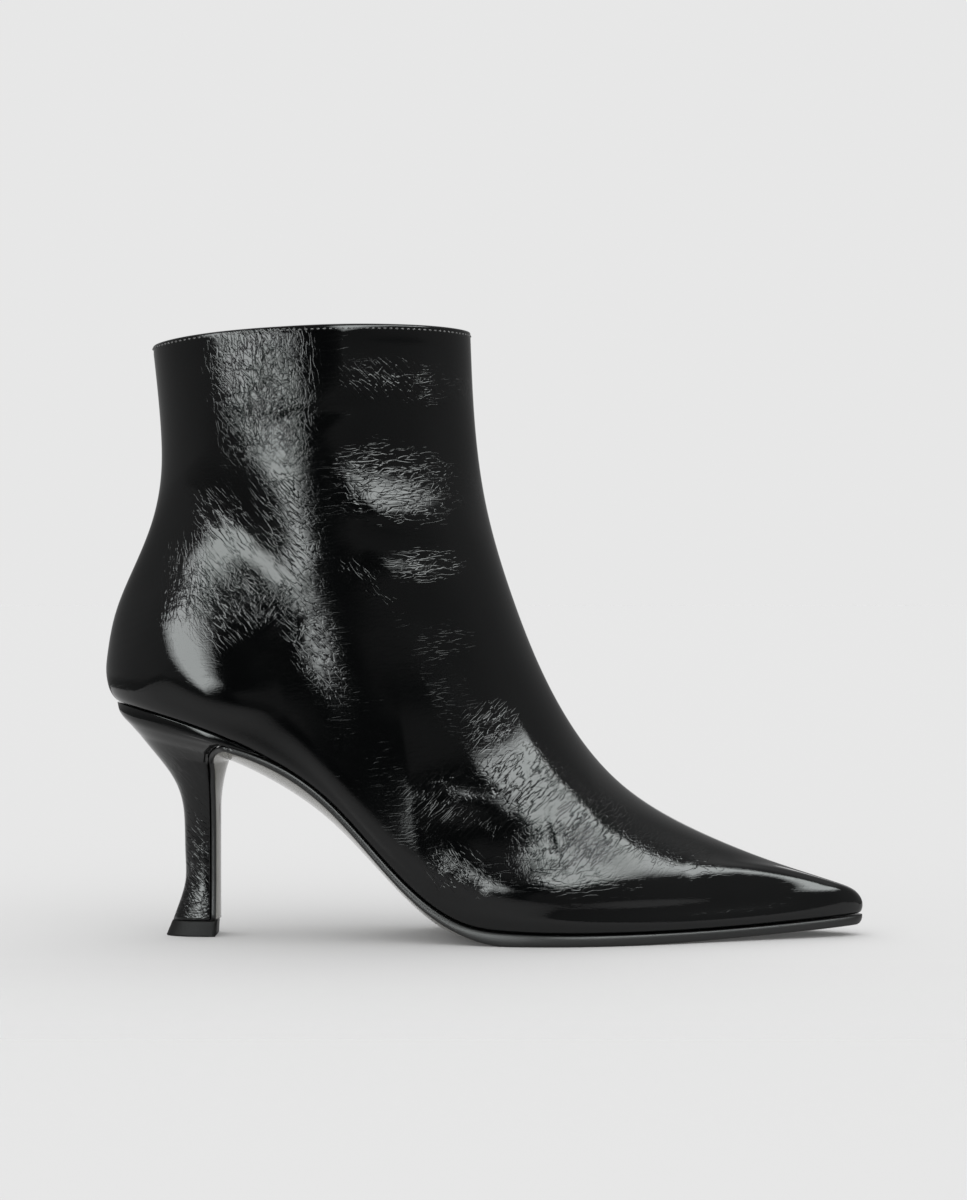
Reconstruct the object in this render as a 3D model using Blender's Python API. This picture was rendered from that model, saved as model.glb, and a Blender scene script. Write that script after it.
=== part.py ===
"""Pointed ankle boot for the right foot, on a slim curved heel.

The tables are in millimetres and the meshes in metres. +X runs to the toe, +Y to the inner (medial) side
of the foot, -Y to the outer (lateral) side and +Z up, with the floor at z = 0.
"""

import math
from typing import NamedTuple

import bpy
import numpy as np

MM = 0.001

# Driving sizes
WALL = 1.8                  # leather and lining of the upper
SEAT_GAP = 0.3              # clearance between pieces that touch
COLLAR_BOW = 2.0            # how far the collar line bows up between back and front
TOE_SPRING = 3.9            # lift of the sole under the toe tip
TREAD_FRONT_X = 46.0        # where the sole leaves the floor towards the toe
TREAD_CURVE = 1.6           # exponent of the sole's rise to the toe
TIP_ROUND = 2.5             # radius under the sole's tip
SOLE_OVERHANG = 0.6         # the sole edge beyond the upper's feather edge
INSOLE_THICK = 2.0
INSOLE_INSET = 3.4          # insole edge inside the feather edge
INSOLE_TIP_INSET = 6.8      # and at the toe
LIFT_HEIGHT = 5.2
HEEL_BASE_Z = LIFT_HEIGHT + SEAT_GAP

# Mesh counts
UPPER_COLUMNS = 64          # points round each section of the upper
UPPER_ROWS = 27
ROW_CROWDING = 0.55         # how much closer together the rows lie near the feather edge
ROW_CURVE = 2.2
SHARP_EDGE = 40             # degrees over which an edge is shaded sharp
SOLE_STATIONS = 36          # along forefoot and waist
TIP_BLUNTNESS = 0.07        # angle at which the rows of the sole stop short of its tip
TURN_STATIONS = 7           # round the curve from waist to heel breast
BREAST_STATIONS = 8         # down the heel breast
BREAST_SPACING = 1.4        # exponent that sets those closer together under the turn
INSOLE_STATIONS = 30
INSOLE_BLUNTNESS = 0.25     # angle at which the rows of the insole stop short of its ends
HEEL_COLUMNS = 13           # points from back to front on each side of the heel


class Section(NamedTuple):
    """One slanted section of the last, from its back point to its front point.

    The half widths are taken at the shares of the section's length in SECTION_SHARES.
    """

    name: str
    back_x: float
    back_z: float
    front_x: float
    front_z: float
    back_radius: float
    front_radius: float
    lateral: tuple
    medial: tuple


# Shares of a section's length: heel, waist, joint, toe box and tip
SECTION_SHARES = (0.12, 0.36, 0.58, 0.78, 0.93)

SECTIONS = (
    Section("feather", -122.4, 78.0, 125.3, 7.0, 20.0, 3.0,
            (26.0, 26.8, 36.2, 24.0, 10.4), (25.6, 20.4, 35.0, 28.6, 13.0)),
    Section("wall", -123.6, 79.4, 126.0, 9.8, 20.5, 3.3,
            (27.0, 27.8, 37.3, 24.9, 11.0), (26.6, 21.6, 36.2, 29.6, 13.7)),
    Section("nose", -124.7, 81.2, 124.5, 13.5, 21.0, 3.4,
            (27.6, 28.3, 37.6, 24.6, 10.6), (27.2, 22.4, 36.6, 29.4, 13.2)),
    Section("cap", -125.7, 84.6, 118.6, 16.8, 21.5, 3.6,
            (28.0, 28.6, 37.9, 26.0, 10.6), (27.6, 23.4, 36.0, 30.6, 13.0)),
    Section("box", -125.7, 93.0, 100.0, 22.9, 21.5, 5.0,
            (28.6, 29.6, 36.5, 29.0, 14.0), (28.3, 26.0, 34.5, 33.0, 17.0)),
    Section("vamp", -123.2, 106.3, 73.6, 33.3, 21.0, 7.0,
            (28.2, 30.2, 33.6, 31.5, 18.0), (28.0, 28.2, 31.5, 33.5, 20.5)),
    Section("joint", -117.1, 121.8, 45.0, 50.6, 19.0, 8.0,
            (26.4, 30.0, 31.5, 31.2, 20.0), (26.4, 29.4, 30.5, 31.8, 20.5)),
    Section("instep", -110.9, 137.3, 24.0, 78.0, 17.0, 8.5,
            (24.6, 29.8, 30.4, 27.6, 17.6), (24.6, 29.6, 30.2, 27.8, 17.8)),
    Section("throat", -107.8, 154.0, 9.6, 111.5, 16.5, 9.0,
            (23.6, 29.4, 29.8, 25.6, 16.0), (23.6, 29.4, 29.8, 25.8, 16.2)),
    Section("ankle", -108.0, 169.0, 0.5, 143.0, 16.0, 9.5,
            (22.8, 29.2, 29.7, 24.9, 15.3), (22.8, 29.2, 29.7, 24.9, 15.3)),
    Section("collar", -110.6, 195.5, -4.75, 200.8, 16.5, 10.0,
            (21.5, 29.6, 30.2, 25.2, 15.4), (21.5, 29.6, 30.2, 25.2, 15.4)),
)


class EdgePoint(NamedTuple):
    """Height of the feather edge, where upper and sole meet, at one place along the boot."""

    x: float
    z: float


FEATHER_LINE = (
    EdgePoint(-122.4, 78.0),
    EdgePoint(-97.0, 71.2),
    EdgePoint(-72.0, 60.7),
    EdgePoint(-50.0, 45.3),
    EdgePoint(-29.0, 22.6),
    EdgePoint(-9.0, 7.4),
    EdgePoint(8.0, 4.3),
    EdgePoint(40.0, 3.7),
    EdgePoint(80.0, 4.3),
    EdgePoint(125.3, 7.0),
)


class SoleBand(NamedTuple):
    """Edge thickness and extra depth at the middle of the sole, at one place along its run."""

    x: float
    edge: float
    crown: float


# The rounded waist of the sole, from the heel breast to where the tread begins
WAIST_BANDS = (
    SoleBand(-83.0, 1.8, 3.9),
    SoleBand(-60.0, 2.0, 4.9),
    SoleBand(-40.0, 2.0, 3.1),
    SoleBand(-20.0, 2.4, 2.9),
    SoleBand(-9.0, 3.0, 3.1),
    SoleBand(2.0, 4.2, 1.2),
    SoleBand(12.0, 4.3, 0.0),
)
UPRIGHT_FROM_X = -20.0      # from here to the tread the sole's sections turn upright

# The sole's tail on the heel breast
BREAST_EDGE = 1.7
BREAST_CROWN = 1.1
BREAST_SWELL = 2.6          # more crown just under the turn
SWELL_LENGTH = 16.0

BREAST_X = -90.7            # inner face of the sole where it runs down the heel breast
TURN_START_X = -83.0        # where the sole turns down the breast
WEDGE_START_X = -58.0       # the heel reaches this far forward, as a thin wedge between upper and sole
WEDGE_DROP = 2.0            # depth of the wedge where the turn starts
HEEL_FRONT_X = BREAST_X - SEAT_GAP
TURN_CLEARANCE = 0.5        # between heel and sole round the turn
HEEL_ROUND = 2.3            # exponent of the rounded back of the heel


def spline(knots, values, places):
    """A natural cubic through values, one row for each knot, read at the places given."""
    knots = np.asarray(knots, float)
    values = np.asarray(values, float)
    gaps = np.diff(knots)
    count = len(knots)
    system = np.eye(count)
    load = np.zeros_like(values)
    for i in range(1, count - 1):
        system[i, i - 1:i + 2] = gaps[i - 1], 2 * (gaps[i - 1] + gaps[i]), gaps[i]
        load[i] = 6 * ((values[i + 1] - values[i]) / gaps[i] - (values[i] - values[i - 1]) / gaps[i - 1])
    bend = np.linalg.solve(system, load)
    places = np.clip(np.asarray(places, float), knots[0], knots[-1])
    span = np.clip(np.searchsorted(knots, places) - 1, 0, count - 2)
    width = gaps[span]
    after = (places - knots[span]) / width
    before = 1 - after
    shape = places.shape + (1,) * (values.ndim - 1)
    width, after, before = (a.reshape(shape) for a in (width, after, before))
    curve = (before**3 - before) * bend[span] + (after**3 - after) * bend[span + 1]
    return before * values[span] + after * values[span + 1] + curve * width**2 / 6


def turn_of_share(share):
    """The angle round a section at a share of its length: 0 at the back and pi at the front."""
    return np.arccos(np.clip(1 - 2 * np.asarray(share, float), -1, 1))


def fullness_rows(side):
    """Half width over sine, for each section, at its back, at the five shares and at its front."""
    angles = turn_of_share(SECTION_SHARES)
    rows = []
    for section in SECTIONS:
        length = section.front_x - section.back_x
        ends = [math.sqrt(r * length / 2) for r in (section.back_radius, section.front_radius)]
        middle = np.array(getattr(section, side)) / np.sin(angles)
        rows.append([ends[0], *middle, ends[1]])
    return np.array(rows)


FULLNESS_ANGLES = np.concatenate([[0.0], turn_of_share(SECTION_SHARES), [math.pi]])
FULLNESS = {side: fullness_rows(side) for side in ("lateral", "medial")}
SIDE_SIGN = {"lateral": -1.0, "medial": 1.0}
END_TAPER = 4.0             # half width under which a grown outline closes to its end


def section_rises():
    """How far up the front line each section starts, from 0 at the feather edge to 1 at the collar."""
    front = np.array([(s.front_x, s.front_z) for s in SECTIONS])
    run = np.concatenate([[0.0], np.cumsum(np.linalg.norm(np.diff(front, axis=0), axis=1))])
    return run / run[-1]


RISES = section_rises()


def feather_z(x):
    """Height of the feather edge along the boot."""
    return spline([p.x for p in FEATHER_LINE], [p.z for p in FEATHER_LINE], x)


def half_width(rise, angles, side):
    """Half width of the last at a rise, for angles round the section."""
    fullness = spline(RISES, FULLNESS[side], np.array([rise]))[0]
    return spline(FULLNESS_ANGLES, fullness, angles) * np.sin(angles)


def outline_half(x, side, grow=0.0):
    """Half width of the feather outline at places along the boot, grown on all sides."""
    first, last = SECTIONS[0].back_x - grow, SECTIONS[0].front_x + grow
    share = np.clip((np.asarray(x, float) - first) / (last - first), 0.0, 1.0)
    half = half_width(0.0, turn_of_share(share), side)
    return np.maximum(half + grow * np.minimum(half / END_TAPER, 1.0), 0.0)


def last_height(rise, share):
    """Height of the last's surface at a rise and a share of the section's length."""
    first, last = SECTIONS[0], SECTIONS[-1]
    back = spline(RISES, [s.back_z for s in SECTIONS], np.array([rise]))[0]
    front = spline(RISES, [s.front_z for s in SECTIONS], np.array([rise]))[0]
    low = feather_z(first.back_x + share * (first.front_x - first.back_x))
    high = last.back_z + share * (last.front_z - last.back_z) + COLLAR_BOW * 4 * share * (1 - share)
    back_off = back - (1 - rise) * first.back_z - rise * last.back_z
    front_off = front - (1 - rise) * first.front_z - rise * last.front_z
    return (1 - rise) * low + rise * high + (1 - share) * back_off + share * front_off


def upper_ring(rise):
    """Points round the outside of the upper at a rise: along the lateral side to the front, then back."""
    back = spline(RISES, [s.back_x for s in SECTIONS], np.array([rise]))[0]
    front = spline(RISES, [s.front_x for s in SECTIONS], np.array([rise]))[0]
    half_turn = UPPER_COLUMNS // 2
    angles = np.linspace(0.0, math.pi, half_turn + 1)
    share = (1 - np.cos(angles)) / 2
    x = back + share * (front - back)
    z = last_height(rise, share) + SEAT_GAP / 2
    lateral = np.column_stack([x, -half_width(rise, angles, "lateral"), z])
    medial = np.column_stack([x, half_width(rise, angles, "medial"), z])
    return np.concatenate([lateral, medial[-2:0:-1]])


def upper_rises():
    """Rises of the mesh rows, close together where the toe turns over and wider up the shaft."""
    even = np.linspace(0.0, 1.0, UPPER_ROWS)
    return ROW_CROWDING * even**ROW_CURVE + (1 - ROW_CROWDING) * even


def make_object(name, points, faces, material):
    """A smooth-shaded mesh object in metres, from points in millimetres."""
    mesh = bpy.data.meshes.new(name)
    mesh.from_pydata([tuple(p) for p in np.asarray(points) * MM], [], faces)
    mesh.validate()
    mesh.materials.append(material)
    mesh.shade_smooth()
    mesh.set_sharp_from_angle(angle=math.radians(SHARP_EDGE))
    part = bpy.data.objects.new(name, mesh)
    bpy.context.scene.collection.objects.link(part)
    return part


def make_material(name, colour, roughness):
    """A plain Principled material for one sub-part."""
    material = bpy.data.materials.new(name)
    material.use_nodes = True
    shader = material.node_tree.nodes["Principled BSDF"]
    shader.inputs["Base Color"].default_value = (*colour, 1.0)
    shader.inputs["Roughness"].default_value = roughness
    shader.inputs["Metallic"].default_value = 0.0
    return material


def ring_faces(rings, columns):
    """Quads between closed rings of points that lie one after another."""
    faces = []
    for row in range(rings - 1):
        for column in range(columns):
            after = (column + 1) % columns
            low, high = row * columns, (row + 1) * columns
            faces.append((low + column, low + after, high + after, high + column))
    return faces


def capped_faces(rings):
    """Quads between rings, and a face over each end."""
    columns = len(rings[0])
    end = (len(rings) - 1) * columns
    ends = [tuple(range(columns))[::-1], tuple(end + i for i in range(columns))]
    return ring_faces(len(rings), columns) + ends


def build_upper():
    """The upper: one hollow wall from feather edge to collar, open above and below."""
    rises = upper_rises()
    points = np.concatenate([upper_ring(rise) for rise in rises])
    faces = ring_faces(len(rises), UPPER_COLUMNS)
    leather = make_material("upper_leather", (0.012, 0.012, 0.013), 0.22)
    upper = make_object("upper", points, faces, leather)
    wall = upper.modifiers.new("wall", "SOLIDIFY")
    wall.thickness = WALL * MM
    wall.offset = -1.0
    wall.use_even_offset = True
    wall.use_quality_normals = True
    return upper


def tread_z(x):
    """Height of the sole's underside along the forefoot: flat on the floor, then rising to the toe."""
    tip = SECTIONS[0].front_x
    share = np.clip((np.asarray(x, float) - TREAD_FRONT_X) / (tip - TREAD_FRONT_X), 0.0, 1.0)
    return TOE_SPRING * share**TREAD_CURVE


def slope_of(line, x, step=0.5):
    """Slope of a height line at a place along the boot."""
    return float(line(x + step) - line(x - step)) / (2 * step)


def sole_top(x):
    """Height of the sole's inner face: on the feather edge, then below the wedge of the heel."""
    share = np.clip((WEDGE_START_X - np.asarray(x, float)) / (WEDGE_START_X - TURN_START_X), 0.0, 2.0)
    return feather_z(x) - SEAT_GAP / 2 - WEDGE_DROP * share**2


class SoleStation(NamedTuple):
    """One cross-section of the sole: its inner face line, the way down through it, and its sizes."""

    x: float
    z: float
    down_x: float
    down_z: float
    lateral: float
    medial: float
    edge: float
    crown: float


def forefoot_stations():
    """Stations from the toe tip back to where the sole starts to turn down the heel."""
    first, tip = SECTIONS[0].back_x, SECTIONS[0].front_x + SOLE_OVERHANG
    last_angle = turn_of_share((TURN_START_X - first) / (tip - first))
    angles = np.linspace(math.pi - TIP_BLUNTNESS, last_angle, SOLE_STATIONS)
    xs = first + (1 - np.cos(angles)) / 2 * (tip - first)
    bands_x = [b.x for b in WAIST_BANDS]
    stations = []
    for x in xs:
        top = float(sole_top(x))
        upright = np.clip((x - UPRIGHT_FROM_X) / (bands_x[-1] - UPRIGHT_FROM_X), 0.0, 1.0)
        down = np.array([slope_of(sole_top, x) * (1 - upright), -1.0])
        down = down / np.linalg.norm(down)
        if x > bands_x[-1]:
            to_tip = min((tip - x) / TIP_ROUND, 1.0)
            edge = (top - float(tread_z(x))) * math.sqrt(1 - (1 - to_tip) ** 2)
            crown = 0.0
        else:
            edge = float(spline(bands_x, [b.edge for b in WAIST_BANDS], x))
            crown = max(float(spline(bands_x, [b.crown for b in WAIST_BANDS], x)), 0.0)
        lateral, medial = (float(outline_half(x, side, SOLE_OVERHANG)) for side in ("lateral", "medial"))
        stations.append(SoleStation(x, top, down[0], down[1], lateral, medial, edge, crown))
    return stations


class Turn(NamedTuple):
    """The curve that the sole's inner face follows from the waist to the heel breast."""

    centre_x: float
    centre_z: float
    radius: float
    start: float            # angle of its first point, seen from the centre


def sole_turn():
    """The turn that leaves the waist at TURN_START_X and ends upright at BREAST_X."""
    start = math.atan2(1.0, -slope_of(sole_top, TURN_START_X))
    radius = (TURN_START_X - BREAST_X) / (1 + math.cos(start))
    centre_z = float(sole_top(TURN_START_X)) - radius * math.sin(start)
    return Turn(BREAST_X + radius, centre_z, radius, start)


TURN = sole_turn()


def on_turn(degrees):
    """A point of the heel's front face where it follows the sole's turn, seen at an angle from its centre."""
    reach = TURN.radius + TURN_CLEARANCE
    angle = math.radians(degrees)
    return TURN.centre_x + reach * math.cos(angle), TURN.centre_z + reach * math.sin(angle)


class HeelLevel(NamedTuple):
    """One level of the heel, from its back point to its front point, with its half width."""

    back_x: float
    back_z: float
    front_x: float
    front_z: float
    half_width: float
    seat_share: float       # 1 where the outline follows the seat of the upper


HEEL_LEVELS = (
    HeelLevel(-122.2, 77.8, -72.0, 60.5, 26.0, 1.0),
    HeelLevel(-121.3, 75.6, -74.0, float(sole_top(-74.0)) + SEAT_GAP, 25.6, 0.95),
    HeelLevel(-120.0, 73.4, *on_turn(90), 24.4, 0.7),
    HeelLevel(-117.6, 70.5, *on_turn(120), 21.8, 0.3),
    HeelLevel(-114.6, 66.6, *on_turn(150), 18.4, 0.0),
    HeelLevel(-109.5, 60.2, *on_turn(180), 13.8, 0.0),
    HeelLevel(-104.4, 53.4, HEEL_FRONT_X, 50.5, 9.8, 0.0),
    HeelLevel(-102.3, 49.4, HEEL_FRONT_X, 47.0, 8.5, 0.0),
    HeelLevel(-100.7, 44.0, HEEL_FRONT_X, 42.5, 7.3, 0.0),
    HeelLevel(-100.0, 36.0, HEEL_FRONT_X, 35.5, 6.3, 0.0),
    HeelLevel(-99.75, 26.0, HEEL_FRONT_X, 26.0, 5.9, 0.0),
    HeelLevel(-99.8, 18.0, HEEL_FRONT_X, 18.0, 5.9, 0.0),
    HeelLevel(-101.2, 12.5, HEEL_FRONT_X, 12.5, 6.3, 0.0),
    HeelLevel(-103.75, HEEL_BASE_Z, HEEL_FRONT_X, HEEL_BASE_Z, 7.1, 0.0),
)
BREAST_TOP_LEVEL = 2        # the level at the top of the turn
LIFT_TOP = HeelLevel(-103.9, LIFT_HEIGHT, -89.0, LIFT_HEIGHT, 7.2, 0.0)
LIFT_FOOT = HeelLevel(-106.1, 0.0, -89.3, 0.0, 7.8, 0.0)


def heel_half(z):
    """Half width of the heel's breast at a height, from the top of the turn down."""
    levels = HEEL_LEVELS[:BREAST_TOP_LEVEL - 1:-1]
    return float(spline([h.front_z for h in levels], [h.half_width for h in levels], z))


def breast_stations(last):
    """Stations round the curve from the waist and down the heel breast, after the last waist station."""
    stations = []
    spare = [half - HEEL_LEVELS[BREAST_TOP_LEVEL].half_width for half in (last.lateral, last.medial)]
    for step in range(1, TURN_STATIONS + 1):
        share = step / TURN_STATIONS
        angle = TURN.start + share * (math.pi - TURN.start)
        z = TURN.centre_z + TURN.radius * math.sin(angle)
        edge = last.edge + share * (BREAST_EDGE - last.edge)
        crown = last.crown + share * (BREAST_CROWN + BREAST_SWELL - last.crown)
        lateral, medial = (heel_half(z) + (1 - share) * more for more in spare)
        stations.append(SoleStation(
            TURN.centre_x + TURN.radius * math.cos(angle), z, -math.cos(angle), -math.sin(angle),
            lateral, medial, edge, crown))
    for step in range(1, BREAST_STATIONS + 1):
        share = (step / BREAST_STATIONS) ** BREAST_SPACING
        z = TURN.centre_z + share * (HEEL_BASE_Z + SEAT_GAP - TURN.centre_z)
        half = heel_half(z)
        swell = max(1 - (TURN.centre_z - z) / SWELL_LENGTH, 0.0)
        crown = BREAST_CROWN + BREAST_SWELL * swell**2
        stations.append(SoleStation(BREAST_X, z, 1.0, 0.0, half, half, BREAST_EDGE, crown))
    return stations


SOLE_TOP_SHARES = (-1.0, -0.5, 0.0, 0.5, 1.0)
SOLE_BOTTOM_SHARES = (0.97, 0.75, 0.5, 0.25, 0.0, -0.25, -0.5, -0.75, -0.97)
LEAST_HALF_WIDTH = 0.3
EDGE_DRAW_IN = 0.5          # the sole's top edge, inside its widest line


def sole_ring(station):
    """Points round one cross-section of the sole: inner face from lateral to medial, then the underside."""
    def half(share):
        return station.medial if share > 0 else station.lateral

    def point(share, depth, inset):
        y = share * max(half(share) - inset, LEAST_HALF_WIDTH)
        return (station.x + station.down_x * depth, y, max(station.z + station.down_z * depth, 0.0))

    top = [point(s, 0.0, EDGE_DRAW_IN) for s in SOLE_TOP_SHARES]
    medial_edge = [point(1.0, station.edge / 2, 0.0)]
    bottom = [point(s, station.edge + station.crown * (1 - s * s), 0.0) for s in SOLE_BOTTOM_SHARES]
    lateral_edge = [point(-1.0, station.edge / 2, 0.0)]
    return top + medial_edge + bottom + lateral_edge


def build_outsole():
    """The sole: tread, rounded waist and the thin tail that runs down the heel breast."""
    front = forefoot_stations()
    stations = front + breast_stations(front[-1])
    rings = [sole_ring(s) for s in stations]
    material = make_material("sole_leather", (0.016, 0.016, 0.016), 0.3)
    return make_object("outsole", np.concatenate(rings), capped_faces(rings), material)


def build_insole():
    """The insole: a thin board on sole and heel seat, inside the upper's wall."""
    first, last = SECTIONS[0].back_x + INSOLE_INSET, SECTIONS[0].front_x - INSOLE_TIP_INSET
    angles = np.linspace(INSOLE_BLUNTNESS, math.pi - INSOLE_BLUNTNESS, INSOLE_STATIONS)
    rings = []
    for x in first + (1 - np.cos(angles)) / 2 * (last - first):
        lateral, medial = (float(outline_half(x, side, -INSOLE_INSET)) for side in ("lateral", "medial"))
        low = float(feather_z(x)) + SEAT_GAP / 2
        high = low + INSOLE_THICK
        across = (-lateral, 0.0, medial)
        rings.append([(x, y, low) for y in across] + [(x, y, high) for y in reversed(across)])
    material = make_material("insole_leather", (0.03, 0.03, 0.03), 0.6)
    return make_object("insole", np.concatenate(rings), capped_faces(rings), material)


def heel_ring(level):
    """Points round one level of the heel, from its front lateral corner round the back to the medial one."""
    angles = np.linspace(math.pi / 2, 0.0, HEEL_COLUMNS)
    share = 1 - np.cos(angles) ** (2 / HEEL_ROUND)
    x = level.back_x + share * (level.front_x - level.back_x)
    round_half = level.half_width * np.sin(angles) ** (2 / HEEL_ROUND)
    z = level.back_z + share * (level.front_z - level.back_z)
    if level.seat_share == 1.0:
        z = feather_z(x) - SEAT_GAP / 2
    sides = {}
    for side, sign in SIDE_SIGN.items():
        seat_half = outline_half(np.maximum(x, SECTIONS[0].back_x), side)
        seat_half = np.where(share > 0, seat_half, 0.0)
        half = level.seat_share * seat_half + (1 - level.seat_share) * round_half
        sides[side] = np.column_stack([x, sign * half, z])
    return np.concatenate([sides["lateral"], sides["medial"][-2::-1]])


def build_heel_piece(name, levels, material):
    """A solid through heel levels, from the top one down, closed above and below by strips across."""
    rings = [heel_ring(level) for level in levels]
    columns = len(rings[0])
    faces = ring_faces(len(rings), columns)
    base = (len(rings) - 1) * columns
    for i in range(HEEL_COLUMNS - 1):
        far = columns - 1 - i
        strip = (i, i + 1, far - 1, far) if i + 1 < far - 1 else (i, i + 1, far)
        faces.append(tuple(reversed(strip)))
        faces.append(tuple(base + j for j in strip))
    return make_object(name, np.concatenate(rings), faces, material)


def stand_on_floor(parts):
    """Moves the meshes so that the origin is on the floor under the middle of the boot's box."""
    corners = np.array([v.co for part in parts for v in part.data.vertices])
    low, high = corners.min(axis=0), corners.max(axis=0)
    shift = np.array([-(low[0] + high[0]) / 2, -(low[1] + high[1]) / 2, -low[2]])
    for part in parts:
        for vertex in part.data.vertices:
            vertex.co = np.array(vertex.co) + shift


def main():
    for old in list(bpy.data.objects):
        bpy.data.objects.remove(old)
    heel_leather = make_material("heel_leather", (0.012, 0.012, 0.013), 0.25)
    lift_rubber = make_material("lift_rubber", (0.025, 0.026, 0.026), 0.5)
    parts = [
        build_upper(),
        build_outsole(),
        build_insole(),
        build_heel_piece("heel", HEEL_LEVELS, heel_leather),
        build_heel_piece("top_lift", (LIFT_TOP, LIFT_FOOT), lift_rubber),
    ]
    stand_on_floor(parts)


main()
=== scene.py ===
"""Looks of a pointed ankle boot in crinkled patent leather, dressed over its fixed CAD frame.

The tables are in millimetres, as in the boot's CAD source: +X runs to the toe, +Y to the inner (medial)
side of the foot and +Z up from the floor. Meshes are in metres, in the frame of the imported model.
"""

import logging
import math
from dataclasses import dataclass
from enum import Enum
from typing import Any, NamedTuple, Optional, Sequence, Union

import bpy
import numpy as np
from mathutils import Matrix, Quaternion, Vector


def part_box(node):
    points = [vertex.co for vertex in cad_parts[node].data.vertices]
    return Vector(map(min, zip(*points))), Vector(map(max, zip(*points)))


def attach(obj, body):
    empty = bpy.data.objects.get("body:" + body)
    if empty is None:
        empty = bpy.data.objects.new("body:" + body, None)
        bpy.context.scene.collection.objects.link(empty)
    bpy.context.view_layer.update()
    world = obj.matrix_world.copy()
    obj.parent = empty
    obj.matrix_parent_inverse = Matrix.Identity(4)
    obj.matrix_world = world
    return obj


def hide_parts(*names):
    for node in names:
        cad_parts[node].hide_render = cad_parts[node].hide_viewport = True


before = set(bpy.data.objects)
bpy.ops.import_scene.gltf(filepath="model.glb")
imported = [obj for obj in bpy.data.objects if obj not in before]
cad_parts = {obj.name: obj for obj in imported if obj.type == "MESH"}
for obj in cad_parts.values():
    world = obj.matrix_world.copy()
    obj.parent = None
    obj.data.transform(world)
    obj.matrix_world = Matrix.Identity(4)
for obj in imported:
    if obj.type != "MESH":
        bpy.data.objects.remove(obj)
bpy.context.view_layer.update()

MM = 0.001
BODY = "root"
LOG = logging.getLogger("boot")

LIFT_BACK_X = -106.1

Colour = tuple[float, float, float]
Range = tuple[float, float]


def frame_shift() -> np.ndarray:
    """Offset from the tables' origin to the frame's, from the lift's back edge and middle."""
    low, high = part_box("top_lift")
    return np.array([low.x / MM - LIFT_BACK_X, (low.y + high.y) / 2 / MM, 0.0])


FRAME_SHIFT = frame_shift()


class Side(Enum):
    """The two sides of the boot, with the sign of Y on each."""

    LATERAL = -1.0
    MEDIAL = 1.0


class Streak(Enum):
    """Which way the fine wrinkles of a patch run, in degrees from level in the side view."""

    LEVEL = 4.0
    RISING = 44.0
    FALLING = -48.0
    UPRIGHT = 97.0

    @property
    def attribute(self) -> str:
        """Name of the mesh attribute that holds the strength of these wrinkles."""
        return "wrinkle_" + self.name.lower()


def spline(knots: Sequence[float], values: Any, places: Any) -> np.ndarray:
    """A natural cubic through values, one row for each knot.

    Args:
        knots: Places of the values, rising.
        values: One value or row of values for each knot.
        places: Where the curve is read.

    Returns:
        The curve's value or row of values at each place.
    """
    knots = np.asarray(knots, float)
    values = np.asarray(values, float)
    gaps = np.diff(knots)
    count = len(knots)
    system = np.eye(count)
    load = np.zeros_like(values)
    for i in range(1, count - 1):
        system[i, i - 1:i + 2] = gaps[i - 1], 2 * (gaps[i - 1] + gaps[i]), gaps[i]
        load[i] = 6 * ((values[i + 1] - values[i]) / gaps[i] - (values[i] - values[i - 1]) / gaps[i - 1])
    bend = np.linalg.solve(system, load)
    places = np.clip(np.asarray(places, float), knots[0], knots[-1])
    span = np.clip(np.searchsorted(knots, places) - 1, 0, count - 2)
    width = gaps[span]
    after = (places - knots[span]) / width
    before = 1 - after
    shape = places.shape + (1,) * (values.ndim - 1)
    width, after, before = (a.reshape(shape) for a in (width, after, before))
    curve = (before**3 - before) * bend[span] + (after**3 - after) * bend[span + 1]
    return before * values[span] + after * values[span + 1] + curve * width**2 / 6


def smooth_step(value: Any, low: float, high: float) -> np.ndarray:
    """A smooth rise from 0 at low to 1 at high."""
    share = np.clip((np.asarray(value, float) - low) / (high - low), 0.0, 1.0)
    return share * share * (3 - 2 * share)


def quarter_round(depth: Any, radius: float) -> np.ndarray:
    """How far a rounded edge stands back at a depth below its start."""
    left = np.clip(1 - np.asarray(depth, float) / radius, 0.0, 1.0)
    return radius * (1 - np.sqrt(1 - left * left))


def ring_faces(rings: int, columns: int, closed: bool = False) -> np.ndarray:
    """Quads between closed rings of points that lie one after another.

    Args:
        rings: Number of rings.
        columns: Points in each ring.
        closed: Whether the last ring joins the first.

    Returns:
        One row of four point numbers for each quad.
    """
    rows = np.arange(rings if closed else rings - 1)[:, None]
    column = np.arange(columns)[None, :]
    after = (column + 1) % columns
    low, high = rows * columns, (rows + 1) % rings * columns
    return np.stack([low + column, low + after, high + after, high + column], axis=-1).reshape(-1, 4)


def fit_to_frame(points: np.ndarray) -> np.ndarray:
    """Moves points from the tables' millimetres into the frame's metres."""
    return (np.asarray(points, float).reshape(-1, 3) + FRAME_SHIFT) * MM


def tube_faces(rings: int, columns: int) -> list:
    """Faces of a solid through rings that lie one after another, with a cap on each end."""
    end = (rings - 1) * columns
    caps = [tuple(range(columns))[::-1], tuple(range(end, end + columns))]
    return ring_faces(rings, columns).tolist() + caps


def write_attribute(piece: bpy.types.Object, name: str, values: np.ndarray) -> None:
    """Stores one number for each vertex of a piece."""
    layer = piece.data.attributes.new(name, "FLOAT", "POINT")
    layer.data.foreach_set("value", np.asarray(values, np.float32))


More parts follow.
